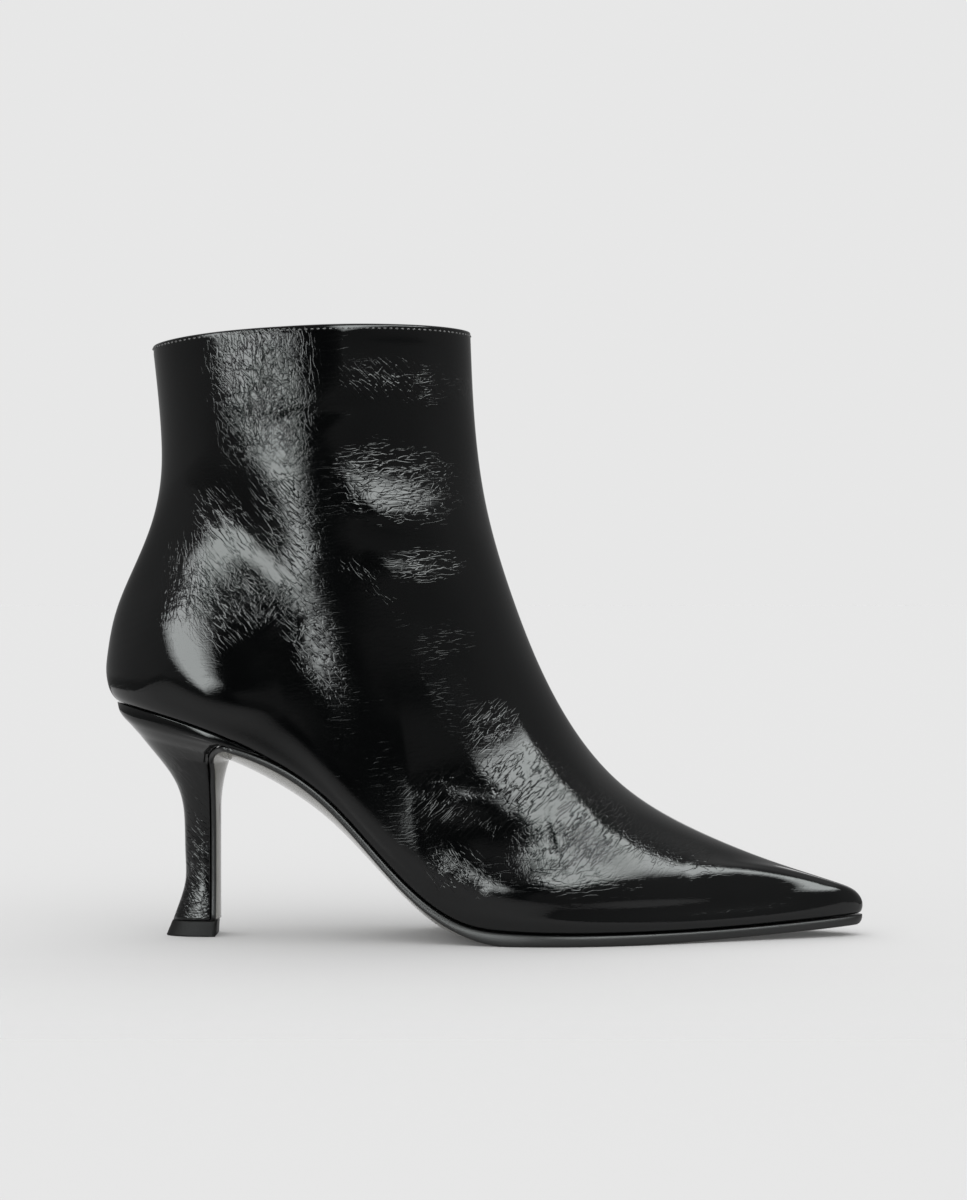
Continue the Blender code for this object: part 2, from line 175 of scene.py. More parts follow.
def make_piece(name: str, points: np.ndarray, faces: Sequence,
               material: bpy.types.Material) -> bpy.types.Object:
    """A smooth-shaded mesh object at the origin, with its place in its mesh.

    Args:
        name: The piece's name.
        points: Points in the tables' millimetres.
        faces: Point numbers of each face.
        material: The finish of the whole piece.

    Returns:
        The new object.
    """
    mesh = bpy.data.meshes.new(name)
    mesh.from_pydata(fit_to_frame(points).tolist(), [], [tuple(map(int, face)) for face in faces])
    mesh.validate()
    mesh.materials.append(material)
    mesh.shade_smooth()
    piece = bpy.data.objects.new(name, mesh)
    bpy.context.scene.collection.objects.link(piece)
    return piece


def settle(piece: bpy.types.Object, slot: str, *nodes: str) -> bpy.types.Object:
    """Rides a finished piece on the boot's body in place of the CAD nodes that it stands for.

    Args:
        piece: The finished piece.
        slot: Not used.
        nodes: CAD nodes that aren't shown any more.

    Returns:
        The same piece.
    """
    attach(piece, BODY)
    if nodes:
        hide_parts(*nodes)
    LOG.info("%s: %d faces", piece.name, len(piece.data.polygons))
    return piece


# The last and the sole's line


class Section(NamedTuple):
    """One slanted section of the last, from its back point to its front point."""

    name: str
    back_x: float
    back_z: float
    front_x: float
    front_z: float
    back_radius: float
    front_radius: float
    lateral: tuple[float, ...]
    medial: tuple[float, ...]


class EdgePoint(NamedTuple):
    """Height of the feather edge, where upper and sole meet, at one place along the boot."""

    x: float
    z: float


# Shares of a section's length at which its half widths are given: heel, waist, joint, toe box and tip
SECTION_SHARES = (0.12, 0.36, 0.58, 0.78, 0.93)

SECTIONS = (
    Section("feather", -122.4, 78.0, 125.3, 7.0, 20.0, 3.0,
            (26.0, 26.8, 36.2, 24.0, 10.4), (25.6, 20.4, 35.0, 28.6, 13.0)),
    Section("wall", -123.6, 79.4, 126.0, 9.8, 20.5, 3.3,
            (27.0, 27.8, 37.3, 24.9, 11.0), (26.6, 21.6, 36.2, 29.6, 13.7)),
    Section("nose", -124.7, 81.2, 124.5, 13.5, 21.0, 3.4,
            (27.6, 28.3, 37.6, 24.6, 10.6), (27.2, 22.4, 36.6, 29.4, 13.2)),
    Section("cap", -125.7, 84.6, 118.6, 16.8, 21.5, 3.6,
            (28.0, 28.6, 37.9, 26.0, 10.6), (27.6, 23.4, 36.0, 30.6, 13.0)),
    Section("box", -125.7, 93.0, 100.0, 22.9, 21.5, 5.0,
            (28.6, 29.6, 36.5, 29.0, 14.0), (28.3, 26.0, 34.5, 33.0, 17.0)),
    Section("vamp", -123.2, 106.3, 73.6, 33.3, 21.0, 7.0,
            (28.2, 30.2, 33.6, 31.5, 18.0), (28.0, 28.2, 31.5, 33.5, 20.5)),
    Section("joint", -117.1, 121.8, 45.0, 50.6, 19.0, 8.0,
            (26.4, 30.0, 31.5, 31.2, 20.0), (26.4, 29.4, 30.5, 31.8, 20.5)),
    Section("instep", -110.9, 137.3, 24.0, 78.0, 17.0, 8.5,
            (24.6, 29.8, 30.4, 27.6, 17.6), (24.6, 29.6, 30.2, 27.8, 17.8)),
    Section("throat", -107.8, 154.0, 9.6, 111.5, 16.5, 9.0,
            (23.6, 29.4, 29.8, 25.6, 16.0), (23.6, 29.4, 29.8, 25.8, 16.2)),
    Section("ankle", -108.0, 169.0, 0.5, 143.0, 16.0, 9.5,
            (22.8, 29.2, 29.7, 24.9, 15.3), (22.8, 29.2, 29.7, 24.9, 15.3)),
    Section("collar", -110.6, 195.5, -4.75, 200.8, 16.5, 10.0,
            (21.5, 29.6, 30.2, 25.2, 15.4), (21.5, 29.6, 30.2, 25.2, 15.4)),
)

FEATHER_LINE = (
    EdgePoint(-122.4, 78.0), EdgePoint(-97.0, 71.2), EdgePoint(-72.0, 60.7), EdgePoint(-50.0, 45.3),
    EdgePoint(-29.0, 22.6), EdgePoint(-9.0, 7.4), EdgePoint(8.0, 4.3), EdgePoint(40.0, 3.7),
    EdgePoint(80.0, 4.3), EdgePoint(125.3, 7.0),
)


@dataclass
class Last:
    """The form that the leather is pulled over, the same as the CAD upper's outside."""

    sections: tuple[Section, ...] = SECTIONS
    shares: tuple[float, ...] = SECTION_SHARES
    feather: tuple[EdgePoint, ...] = FEATHER_LINE
    collar_bow: float = 2.0
    seat_gap: float = 0.3
    end_taper: float = 4.0

    def __post_init__(self) -> None:
        """Works out the tables that the surface is read from."""
        front = np.array([(s.front_x, s.front_z) for s in self.sections])
        run = np.concatenate([[0.0], np.cumsum(np.linalg.norm(np.diff(front, axis=0), axis=1))])
        self.front_run = float(run[-1])
        self.rises = run / run[-1]
        self.angles = np.concatenate([[0.0], self.turn_of_share(self.shares), [math.pi]])
        self.fullness = {Side.LATERAL: self._fullness("lateral"), Side.MEDIAL: self._fullness("medial")}
        self.ends = np.array([(s.back_x, s.back_z, s.front_x, s.front_z) for s in self.sections])

    def _fullness(self, side: str) -> np.ndarray:
        """Half width over sine for each section, at its back, at the shares and at its front."""
        sines = np.sin(self.turn_of_share(self.shares))
        rows = []
        for section in self.sections:
            length = section.front_x - section.back_x
            back, front = (math.sqrt(r * length / 2) for r in (section.back_radius, section.front_radius))
            rows.append([back, *(np.array(getattr(section, side)) / sines), front])
        return np.array(rows)

    @staticmethod
    def turn_of_share(share: Any) -> np.ndarray:
        """The angle round a section at a share of its length: 0 at the back and pi at the front."""
        return np.arccos(np.clip(1 - 2 * np.asarray(share, float), -1, 1))

    def feather_z(self, x: Any) -> np.ndarray:
        """Height of the feather edge along the boot."""
        return spline([p.x for p in self.feather], [p.z for p in self.feather], x)

    def half_width(self, rise: float, angles: np.ndarray, side: Side) -> np.ndarray:
        """Half width of the last at a rise, for angles from back to front."""
        fullness = spline(self.rises, self.fullness[side], np.array([rise]))[0]
        return spline(self.angles, fullness, angles) * np.sin(angles)

    def outline_half(self, x: Any, side: Side, grow: float = 0.0) -> np.ndarray:
        """Half width of the feather outline along the boot, grown on all sides."""
        first, last = self.sections[0].back_x - grow, self.sections[0].front_x + grow
        share = np.clip((np.asarray(x, float) - first) / (last - first), 0.0, 1.0)
        half = self.half_width(0.0, self.turn_of_share(share), side)
        return np.maximum(half + grow * np.minimum(half / self.end_taper, 1.0), 0.0)

    def ring(self, rise: float, angles: np.ndarray) -> np.ndarray:
        """Points round the last at a rise.

        Args:
            rise: 0 at the feather edge and 1 at the collar.
            angles: Angles round the section, from 0 at the back along the lateral side to a full turn.

        Returns:
            One point for each angle.
        """
        back_x, back_z, front_x, front_z = spline(self.rises, self.ends, np.array([rise]))[0]
        first, last = self.sections[0], self.sections[-1]
        share = (1 - np.cos(angles)) / 2
        low = self.feather_z(first.back_x + share * (first.front_x - first.back_x))
        bow = self.collar_bow * 4 * share * (1 - share)
        high = last.back_z + share * (last.front_z - last.back_z) + bow
        back_off = back_z - (1 - rise) * first.back_z - rise * last.back_z
        front_off = front_z - (1 - rise) * first.front_z - rise * last.front_z
        z = (1 - rise) * low + rise * high + (1 - share) * back_off + share * front_off
        lateral = angles <= math.pi
        folded = np.where(lateral, angles, 2 * math.pi - angles)
        y = np.where(lateral, -self.half_width(rise, folded, Side.LATERAL),
                     self.half_width(rise, folded, Side.MEDIAL))
        return np.column_stack([back_x + share * (front_x - back_x), y, z + self.seat_gap / 2])

    def surface(self, rises: np.ndarray, columns: int) -> np.ndarray:
        """A grid of points on the last, one row for each rise."""
        angles = np.linspace(0.0, 2 * math.pi, columns, endpoint=False)
        return np.array([self.ring(rise, angles) for rise in rises])


def grid_normals(grid: np.ndarray) -> np.ndarray:
    """Outward normals of a grid of closed rings that runs up the boot."""
    up = np.gradient(grid, axis=0)
    round_ = np.roll(grid, -1, axis=1) - np.roll(grid, 1, axis=1)
    normals = np.cross(round_, up)
    return normals / np.maximum(np.linalg.norm(normals, axis=2, keepdims=True), 1e-9)


# Node trees


@dataclass(frozen=True)
class Wire:
    """An output socket that takes part in sums as a number does."""

    graph: "Graph"
    socket: bpy.types.NodeSocket

    def _math(self, operation: str, first: Any, second: Any = 0.0) -> "Wire":
        """A Math node on two values."""
        return self.graph.add("ShaderNodeMath", {"operation": operation}, {0: first, 1: second})

    def __add__(self, other: Any) -> "Wire":
        """Sum of two values."""
        return self._math("ADD", self, other)

    def __radd__(self, other: Any) -> "Wire":
        """Sum with a number on the left."""
        return self._math("ADD", other, self)

    def __sub__(self, other: Any) -> "Wire":
        """Difference of two values."""
        return self._math("SUBTRACT", self, other)

    def __rsub__(self, other: Any) -> "Wire":
        """Difference from a number on the left."""
        return self._math("SUBTRACT", other, self)

    def __mul__(self, other: Any) -> "Wire":
        """Product of two values."""
        return self._math("MULTIPLY", self, other)

    def __abs__(self) -> "Wire":
        """A value without its sign."""
        return self._math("ABSOLUTE", self)

    def most(self, other: Any) -> "Wire":
        """The larger of two values."""
        return self._math("MAXIMUM", self, other)

    def least(self, other: Any) -> "Wire":
        """The smaller of two values."""
        return self._math("MINIMUM", self, other)


class Graph:
    """The node tree of a material or of the studio's world."""

    def __init__(self, name: str, store: Any = None) -> None:
        """Starts an empty tree in a new material, or in a new item of another store."""
        self.material = (bpy.data.materials if store is None else store).new(name)
        self.material.use_nodes = True
        self.tree = self.material.node_tree
        self.tree.nodes.clear()

    def add(self, kind: str, settings: Optional[dict] = None, inputs: Optional[dict] = None,
            output: Union[int, str] = 0) -> Wire:
        """Adds a node.

        Args:
            kind: The node's type.
            settings: Its own settings.
            inputs: Values or wires for its sockets, by name or number.
            output: The socket to go on from.

        Returns:
            That output as a wire.
        """
        node = self.tree.nodes.new(kind)
        for key, value in (settings or {}).items():
            setattr(node, key, value)
        for key, value in (inputs or {}).items():
            if isinstance(value, Wire):
                self.tree.links.new(value.socket, node.inputs[key])
            else:
                node.inputs[key].default_value = value
        return Wire(self, node.outputs[output]) if node.outputs else Wire(self, None)

    def attribute(self, name: str) -> Wire:
        """The value of one of the piece's own attributes."""
        return self.add("ShaderNodeAttribute", {"attribute_name": name}, output="Fac")

    def coordinates(self, scale: Sequence[float], tilt: float) -> Wire:
        """Object coordinates counted in steps of given lengths.

        Args:
            scale: Length of a step along each axis, in millimetres.
            tilt: Turn of the first axis from level, in degrees in the side view.

        Returns:
            The coordinates as a wire.
        """
        place = self.add("ShaderNodeTexCoord", output="Object")
        return self.add("ShaderNodeMapping", {"vector_type": "TEXTURE"}, {
            "Vector": place,
            "Rotation": (0.0, -math.radians(tilt), 0.0),
            "Scale": tuple(step * MM for step in scale),
        })

    def noise(self, size: Union[float, Sequence[float]], tilt: float = 0.0, detail: float = 2.0,
              roughness: float = 0.5, distortion: float = 0.0) -> Wire:
        """Plain noise from 0 to 1.

        Args:
            size: Size of a cell in millimetres, the same or one for each axis.
            tilt: Turn of the first axis from level, in degrees in the side view.
            detail: Number of finer layers on it.
            roughness: Strength of each finer layer.
            distortion: How far it is warped.

        Returns:
            The noise as a wire.
        """
        steps = (size,) * 3 if isinstance(size, float) else size
        return self.add("ShaderNodeTexNoise", {"noise_dimensions": "3D"}, {
            "Vector": self.coordinates(steps, tilt), "Scale": 1.0,
            "Detail": detail, "Roughness": roughness, "Distortion": distortion,
        }, "Fac")

    def tint(self, share: Wire, dark: Colour, light: Colour) -> Wire:
        """A colour between two, by a share."""
        return self.add("ShaderNodeMix", {"data_type": "RGBA"},
                        {"Factor": share, "A": (*dark, 1.0), "B": (*light, 1.0)}, 2)

    def bump(self, height: Wire, depth: float = 1.0) -> Wire:
        """A bumped normal from a height, with the depth of one unit in millimetres."""
        return self.add("ShaderNodeBump", None, {"Height": height, "Distance": depth * MM, "Strength": 1.0})

    def glow(self, radiance: Union[float, Wire]) -> bpy.types.Material:
        """Closes the tree with a white glow."""
        light = self.add("ShaderNodeEmission", None, {"Strength": radiance})
        self.add("ShaderNodeOutputMaterial", None, {"Surface": light})
        return self.material

    def surface(self, sockets: dict[str, Any]) -> bpy.types.Material:
        """Closes the tree with a Principled shader.

        Args:
            sockets: Values or wires for the shader's sockets.

        Returns:
            The finished material.
        """
        shader = self.add("ShaderNodeBsdfPrincipled", None, sockets)
        self.add("ShaderNodeOutputMaterial", None, {"Surface": shader})
        return self.material


# Finishes


@dataclass(frozen=True)
class CrinkledPatent:
    """Black leather under a clear film that has crinkled with it; sizes and depths are in millimetres."""

    name: str = "crinkled_patent"
    dark: Colour = (0.0014, 0.0016, 0.0017)
    light: Colour = (0.0026, 0.0029, 0.0030)
    mottle_size: float = 14.0
    roughness: float = 0.075
    roughness_spread: float = 0.06
    film_ior: float = 1.42
    wrinkle_size: tuple[float, float, float] = (6.5, 4.55, 1.5)
    wrinkle_swell: float = 0.05
    crack_width: float = 0.09
    crack_depth: float = 0.075
    net_size: float = 4.4
    net_depth: float = 0.022
    grain_size: float = 0.8
    grain_depth: float = 0.006
    tuft_size: float = 11.0
    tuft_gain: float = 3.0
    tuft_loss: float = 0.5

    def _crack(self, swell: Wire) -> Wire:
        """Narrow cracks along the lines where a swell is lowest."""
        return (swell * (1.0 / self.crack_width)).least(1.0)

    def _layer(self, graph: Graph, streak: Streak) -> Wire:
        """Height of the wrinkles that run one way: thin cracks, and swells where they are strong."""
        swell = abs(graph.noise(self.wrinkle_size, streak.value, detail=1.5, distortion=0.5) * 2.0 - 1.0)
        tufts = graph.noise(self.tuft_size, streak.value)
        gathered = (tufts * self.tuft_gain - self.tuft_loss).most(0.0)
        strength = graph.attribute(streak.attribute) * gathered
        return (swell * strength * self.wrinkle_swell + self._crack(swell) * self.crack_depth) * strength

    def build(self) -> bpy.types.Material:
        """Makes the material."""
        graph = Graph(self.name)
        wrinkles = sum((self._layer(graph, streak) for streak in Streak), 0.0)
        total = sum((graph.attribute(streak.attribute) for streak in Streak), 0.0)
        net = graph.noise(self.net_size, roughness=0.55, distortion=0.8)
        fine = self._crack(abs(net * 2.0 - 1.0)) * total.least(1.0)
        grain = graph.noise(self.grain_size, detail=1.0)
        mottle = graph.noise(self.mottle_size, detail=3.0)
        return graph.surface({
            "Base Color": graph.tint(mottle, self.dark, self.light),
            "Roughness": self.roughness + (mottle - 0.5) * self.roughness_spread,
            "IOR": self.film_ior,
            "Normal": graph.bump(wrinkles + fine * self.net_depth + grain * self.grain_depth),
        })


@dataclass(frozen=True)
class PolishedSole:
    """Polished sole leather, black along its edges and taupe below, with brush marks and a dulled tread."""

    name: str = "polished_sole"
    edge_paint: Colour = (0.005, 0.005, 0.005)
    taupe: Colour = (0.24, 0.235, 0.215)
    leather_ior: float = 1.5
    roughness: float = 0.10
    edge_roughness: float = 0.36
    worn_roughness: float = 0.5
    brush_roughness: float = 0.05
    tread_height: float = 0.6
    brush_size: tuple[float, float, float] = (40.0, 1.2, 6.0)
    brush_depth: float = 0.008
    scuff_size: tuple[float, float, float] = (9.0, 2.2, 9.0)
    pore_size: float = 0.7
    pore_depth: float = 0.003

    def build(self) -> bpy.types.Material:
        """Makes the material."""
        graph = Graph(self.name)
        brush = graph.noise(self.brush_size, detail=3.0)
        pores = graph.noise(self.pore_size, detail=1.0)
        place = graph.add("ShaderNodeTexCoord", output="Object")
        height = graph.add("ShaderNodeSeparateXYZ", None, {"Vector": place}, "Z")
        worn = (1.0 - (height * (1.0 / (self.tread_height * MM))).least(1.0)).most(0.0)
        scuff = worn * graph.noise(self.scuff_size, detail=4.0, roughness=0.7)
        under = graph.attribute("underside")
        return graph.surface({
            "Base Color": graph.tint(under * (0.75 + brush * 0.5 - scuff * 0.4), self.edge_paint, self.taupe),
            "Roughness": (self.edge_roughness - under * (self.edge_roughness - self.roughness)
                          + brush * self.brush_roughness + scuff * (self.worn_roughness - self.roughness)),
            "IOR": self.leather_ior,
            "Normal": graph.bump(brush * self.brush_depth + pores * self.pore_depth),
        })


@dataclass(frozen=True)
class PlainGrain:
    """A quiet black leather, rubber or thread with a fine grain."""

    name: str
    dark: Colour
    light: Colour
    roughness: float
    grain: float
    depth: float
    coat: float = 0.0
    gloss: float = 0.5
    coat_roughness: float = 0.25
    patch_scale: float = 14.0       # size of the uneven patches over that of the grain
    roughness_spread: float = 0.16

    def build(self) -> bpy.types.Material:
        """Makes the material."""
        graph = Graph(self.name)
        pores = graph.noise(self.grain, roughness=0.6)
        patches = graph.noise(self.grain * self.patch_scale, detail=3.0)
        return graph.surface({
            "Base Color": graph.tint(patches, self.dark, self.light),
            "Roughness": self.roughness + (patches - 0.5) * self.roughness_spread,
            "Specular IOR Level": self.gloss,
            "Coat Weight": self.coat,
            "Coat Roughness": self.coat_roughness,
            "Normal": graph.bump(pores, self.depth),
        })


# Creases and wrinkles of the upper


class Crease(NamedTuple):
    """A soft trough or ridge in the leather, drawn from left to right or from low to high.

    Each point of its path has its x, its z and the depth there, which is negative on a ridge.
    """

    name: str
    path: tuple[tuple[float, float, float], ...]
    above: float            # reach of the slope on its upper or left side
    below: float            # reach on its lower or right side


class WrinklePatch(NamedTuple):
    """A patch of fine wrinkles that run one way, an ellipse in the side view."""

    name: str
    x: float
    z: float
    length: float
    height: float
    turn: float
    streak: Streak
    strength: float


CREASES = (
    Crease("shaft_fold_high", (
        (-46.0, 194.0, 0.0), (-36.0, 194.6, 0.6), (-18.0, 194.4, 0.7), (4.0, 193.6, 0.0)), 5.0, 12.0),
    Crease("shaft_fold_middle", (
        (-51.5, 158.0, 0.0), (-43.4, 161.0, 0.5), (-27.3, 162.0, 0.9), (-11.0, 160.6, 0.9),
        (10.0, 158.0, 0.0)), 14.0, 14.0),
    Crease("shaft_fullness", (
        (-50.0, 144.0, 0.0), (-42.0, 141.0, -0.4), (-33.0, 138.8, -0.9), (-24.0, 137.4, -1.12),
        (-13.3, 138.7, -1.0), (-5.6, 143.0, -0.55), (4.0, 147.0, 0.0)), 9.0, 7.0),
    Crease("shaft_nip", (
        (-22.0, 134.0, 0.0), (-14.0, 132.8, -0.22), (-6.0, 134.0, -0.22), (0.0, 136.0, 0.0)), 2.5, 2.5),
    Crease("shaft_fold_low", (
        (-40.0, 125.5, 0.0), (-30.0, 121.0, -0.35), (-22.0, 118.5, -0.6), (-13.0, 118.0, -0.6),
        (-4.0, 123.0, 0.0)), 7.0, 7.0),
    Crease("throat_hollow", (
        (-24.0, 52.0, 0.0), (-9.5, 54.5, 1.4), (3.5, 59.0, 2.0), (15.0, 64.0, 2.0),
        (34.0, 66.0, 0.0)), 22.0, 30.0),
    Crease("vamp_flat", (
        (34.0, 51.0, 0.0), (45.0, 46.0, 0.6), (58.0, 40.0, 0.7), (74.0, 33.0, 0.0)), 8.0, 14.0),
    Crease("vamp_fullness", (
        (4.0, 22.0, 0.0), (18.0, 24.6, -0.5), (32.0, 25.6, -0.7), (50.0, 24.6, -0.6),
        (74.0, 21.0, 0.0)), 7.0, 6.5),
    Crease("vamp_edge", (
        (10.0, 20.6, 0.0), (22.0, 20.9, -0.3), (36.0, 21.1, -0.38), (52.0, 21.6, -0.38),
        (70.0, 21.6, -0.35), (84.0, 20.0, 0.0)), 4.5, 4.0),
    Crease("toe_shoulder", (
        (66.0, 24.4, 0.0), (84.0, 22.8, -1.7), (99.6, 21.2, -2.0), (111.9, 19.3, -2.0), (119.0, 17.6, -1.7),
        (126.0, 14.8, 0.0)), 2.9, 6.8),
    Crease("heel_cord_hollow", (
        (-66.0, 104.0, 0.0), (-72.0, 116.5, 0.8), (-76.0, 127.5, 2.4), (-80.0, 139.0, 3.0),
        (-85.0, 153.5, 2.4), (-89.7, 166.5, 1.5), (-94.0, 181.0, 0.6), (-96.0, 198.0, 0.0)), 60.0, 12.0),
    Crease("ankle_fold", (
        (-103.0, 151.0, 0.0), (-95.0, 142.2, 1.2), (-87.0, 134.1, 1.8), (-79.0, 124.4, 1.6),
        (-71.0, 114.0, 0.0)), 12.0, 50.0),
    Crease("quarter_groove", (
        (-46.0, 60.0, 0.0), (-54.0, 83.0, 0.6), (-60.0, 98.5, 1.2), (-64.5, 110.0, 1.2),
        (-69.5, 121.0, 0.8), (-73.0, 131.0, 0.0)), 22.0, 9.0),
    Crease("counter_sweep", (
        (-112.0, 94.0, 0.0), (-93.6, 81.6, -1.0), (-80.6, 77.4, -1.0), (-66.0, 77.0, 0.0)), 9.0, 5.0),
    Crease("wall_swell", (
        (-6.0, 14.0, 0.0), (2.0, 10.5, -0.5), (24.5, 8.8, -0.7), (44.0, 8.2, -0.3),
        (62.0, 8.4, 0.0)), 7.0, 3.5),
    Crease("rear_fold", (
        (-84.0, 171.5, 0.0), (-70.0, 169.3, 0.25), (-58.0, 170.3, 0.3), (-46.0, 173.5, 0.25),
        (-32.0, 175.5, 0.0)), 2.6, 2.6),
    Crease("ankle_line", (
        (-100.0, 150.0, 0.0), (-93.0, 145.5, 0.2), (-84.0, 138.5, 0.2), (-75.0, 130.0, 0.0)), 1.8, 1.8),
    Crease("ankle_line_low", (
        (-98.0, 144.0, 0.0), (-92.5, 139.0, 0.2), (-88.0, 133.5, 0.0)), 1.6, 1.6),
    Crease("vamp_start_fold", (
        (-24.0, 49.2, 0.0), (-13.0, 47.2, -0.6), (-2.0, 45.0, -0.6), (9.0, 41.5, 0.0)), 4.5, 5.0),
    Crease("vamp_valley", (
        (-0.5, 28.0, 0.0), (-2.3, 40.0, 0.4), (-4.6, 54.0, 0.0)), 7.0, 5.0),
)

WRINKLE_PATCHES = (
    WrinklePatch("rear_shaft", -76.0, 186.0, 13.0, 24.0, 0.0, Streak.UPRIGHT, 0.95),
    WrinklePatch("rear_shaft_edge", -62.0, 182.0, 8.0, 24.0, 0.0, Streak.UPRIGHT, 0.35),
    WrinklePatch("rear_shaft_cross", -72.0, 178.0, 14.0, 28.0, 10.0, Streak.FALLING, 0.5),
    WrinklePatch("rear_shaft_turn", -66.0, 176.0, 12.0, 20.0, 0.0, Streak.RISING, 0.35),
    WrinklePatch("rear_shaft_low", -64.0, 138.0, 9.0, 22.0, 15.0, Streak.FALLING, 0.8),
    WrinklePatch("ankle_back", -87.0, 137.0, 15.0, 9.0, -45.0, Streak.FALLING, 0.6),
    WrinklePatch("front_high", -29.0, 182.0, 14.0, 8.0, 0.0, Streak.FALLING, 0.9),
    WrinklePatch("front_high_end", -14.0, 181.0, 9.0, 7.0, 0.0, Streak.LEVEL, 0.8),
    WrinklePatch("front_middle", -26.0, 149.0, 24.0, 12.0, 0.0, Streak.LEVEL, 0.8),
    WrinklePatch("front_fall", -38.6, 118.0, 12.0, 5.0, -42.0, Streak.FALLING, 0.32),
    WrinklePatch("front_low", -16.0, 123.5, 14.0, 6.5, 0.0, Streak.LEVEL, 0.36),
    WrinklePatch("front_faint", -12.0, 100.0, 12.0, 12.0, 0.0, Streak.LEVEL, 0.11),
    WrinklePatch("throat", 3.5, 71.0, 8.0, 8.0, 0.0, Streak.RISING, 0.5),
    WrinklePatch("counter_edge", -100.0, 119.0, 8.0, 16.0, 0.0, Streak.UPRIGHT, 0.9),
    WrinklePatch("counter", -85.0, 114.0, 15.0, 14.0, 0.0, Streak.FALLING, 0.6),
    WrinklePatch("quarter", -57.0, 100.0, 7.0, 20.0, 25.0, Streak.FALLING, 0.9),
    WrinklePatch("quarter_star", -71.0, 110.0, 8.0, 6.0, 0.0, Streak.RISING, 1.0),
    WrinklePatch("vamp_high", 14.0, 54.0, 16.0, 10.0, -20.0, Streak.RISING, 1.0),
    WrinklePatch("vamp_ridge", 40.0, 40.0, 18.0, 7.0, -38.0, Streak.RISING, 0.8),
    WrinklePatch("vamp_core", 24.0, 36.0, 20.0, 12.0, -15.0, Streak.RISING, 0.6),
    WrinklePatch("vamp_start", -10.0, 47.0, 12.0, 10.0, 0.0, Streak.RISING, 0.55),
    WrinklePatch("vamp_side", 22.0, 22.0, 26.0, 5.0, -8.0, Streak.LEVEL, 0.45),
    WrinklePatch("vamp_cross", 22.0, 30.0, 16.0, 9.0, 0.0, Streak.UPRIGHT, 0.2),
    WrinklePatch("arch", -10.0, 22.0, 10.0, 9.0, 0.0, Streak.FALLING, 0.7),
    WrinklePatch("toe_edge", 62.0, 30.0, 20.0, 5.0, -20.0, Streak.LEVEL, 0.5),
)


def crease_depth(crease: Crease, points: np.ndarray, steps: int = 40) -> np.ndarray:
    """How far a crease presses in at each point.

    Args:
        crease: The crease.
        points: Points on the leather, one row each.
        steps: Straight lengths that its smooth path is cut into.

    Returns:
        Depth at each point.
    """
    knots = np.arange(len(crease.path), dtype=float)
    line = spline(knots, np.array(crease.path), np.linspace(0.0, knots[-1], steps + 1))
    place = points[:, [0, 2]]
    nearest = np.full(len(place), np.inf)
    depth = np.zeros(len(place))
    above = np.zeros(len(place), bool)
    for start, end in zip(line[:-1], line[1:]):
        step = end[:2] - start[:2]
        offset = place - start[:2]
        part = np.clip(offset @ step / (step @ step), 0.0, 1.0)
        away = offset - part[:, None] * step
        distance = np.hypot(away[:, 0], away[:, 1])
        closer = distance < nearest
        nearest = np.where(closer, distance, nearest)
        depth = np.where(closer, start[2] + part * (end[2] - start[2]), depth)
        above = np.where(closer, step[0] * offset[:, 1] - step[1] * offset[:, 0] > 0, above)
    return depth * np.exp(-((nearest / np.where(above, crease.above, crease.below)) ** 2))


def patch_strength(patch: WrinklePatch, points: np.ndarray) -> np.ndarray:
    """Strength of a patch's wrinkles at each point."""
    turn = math.radians(patch.turn)
    x, z = points[:, 0] - patch.x, points[:, 2] - patch.z
    along = (x * math.cos(turn) + z * math.sin(turn)) / patch.length
    across = (z * math.cos(turn) - x * math.sin(turn)) / patch.height
    return patch.strength * np.exp(-((along**2 + across**2) ** 1.5))


def write_wrinkles(piece: bpy.types.Object, points: np.ndarray, patches: Sequence[WrinklePatch],
                   base: float) -> None:
    """Stores the strength of the wrinkles of each direction on a piece.

    Args:
        piece: The piece, with one vertex for each point.
        points: Its points in the tables' millimetres.
        patches: The patches on it.
        base: Least strength of the level wrinkles.
    """
    for streak in Streak:
        strength = np.full(len(points), base if streak is Streak.LEVEL else 0.0)
        for patch in patches:
            if patch.streak is streak:
                strength = np.maximum(strength, patch_strength(patch, points))
        write_attribute(piece, streak.attribute, strength)


def slack_wave(points: np.ndarray) -> np.ndarray:
    """Uneven waves from -1 to 1, some 50 mm long, for slack in the leather."""
    x, y, z = points.T
    return np.sin(x / 9.0 + z / 13.0 + 0.6 * np.sin(z / 11.0)) * np.sin(z / 8.0 - x / 17.0 + y / 19.0)


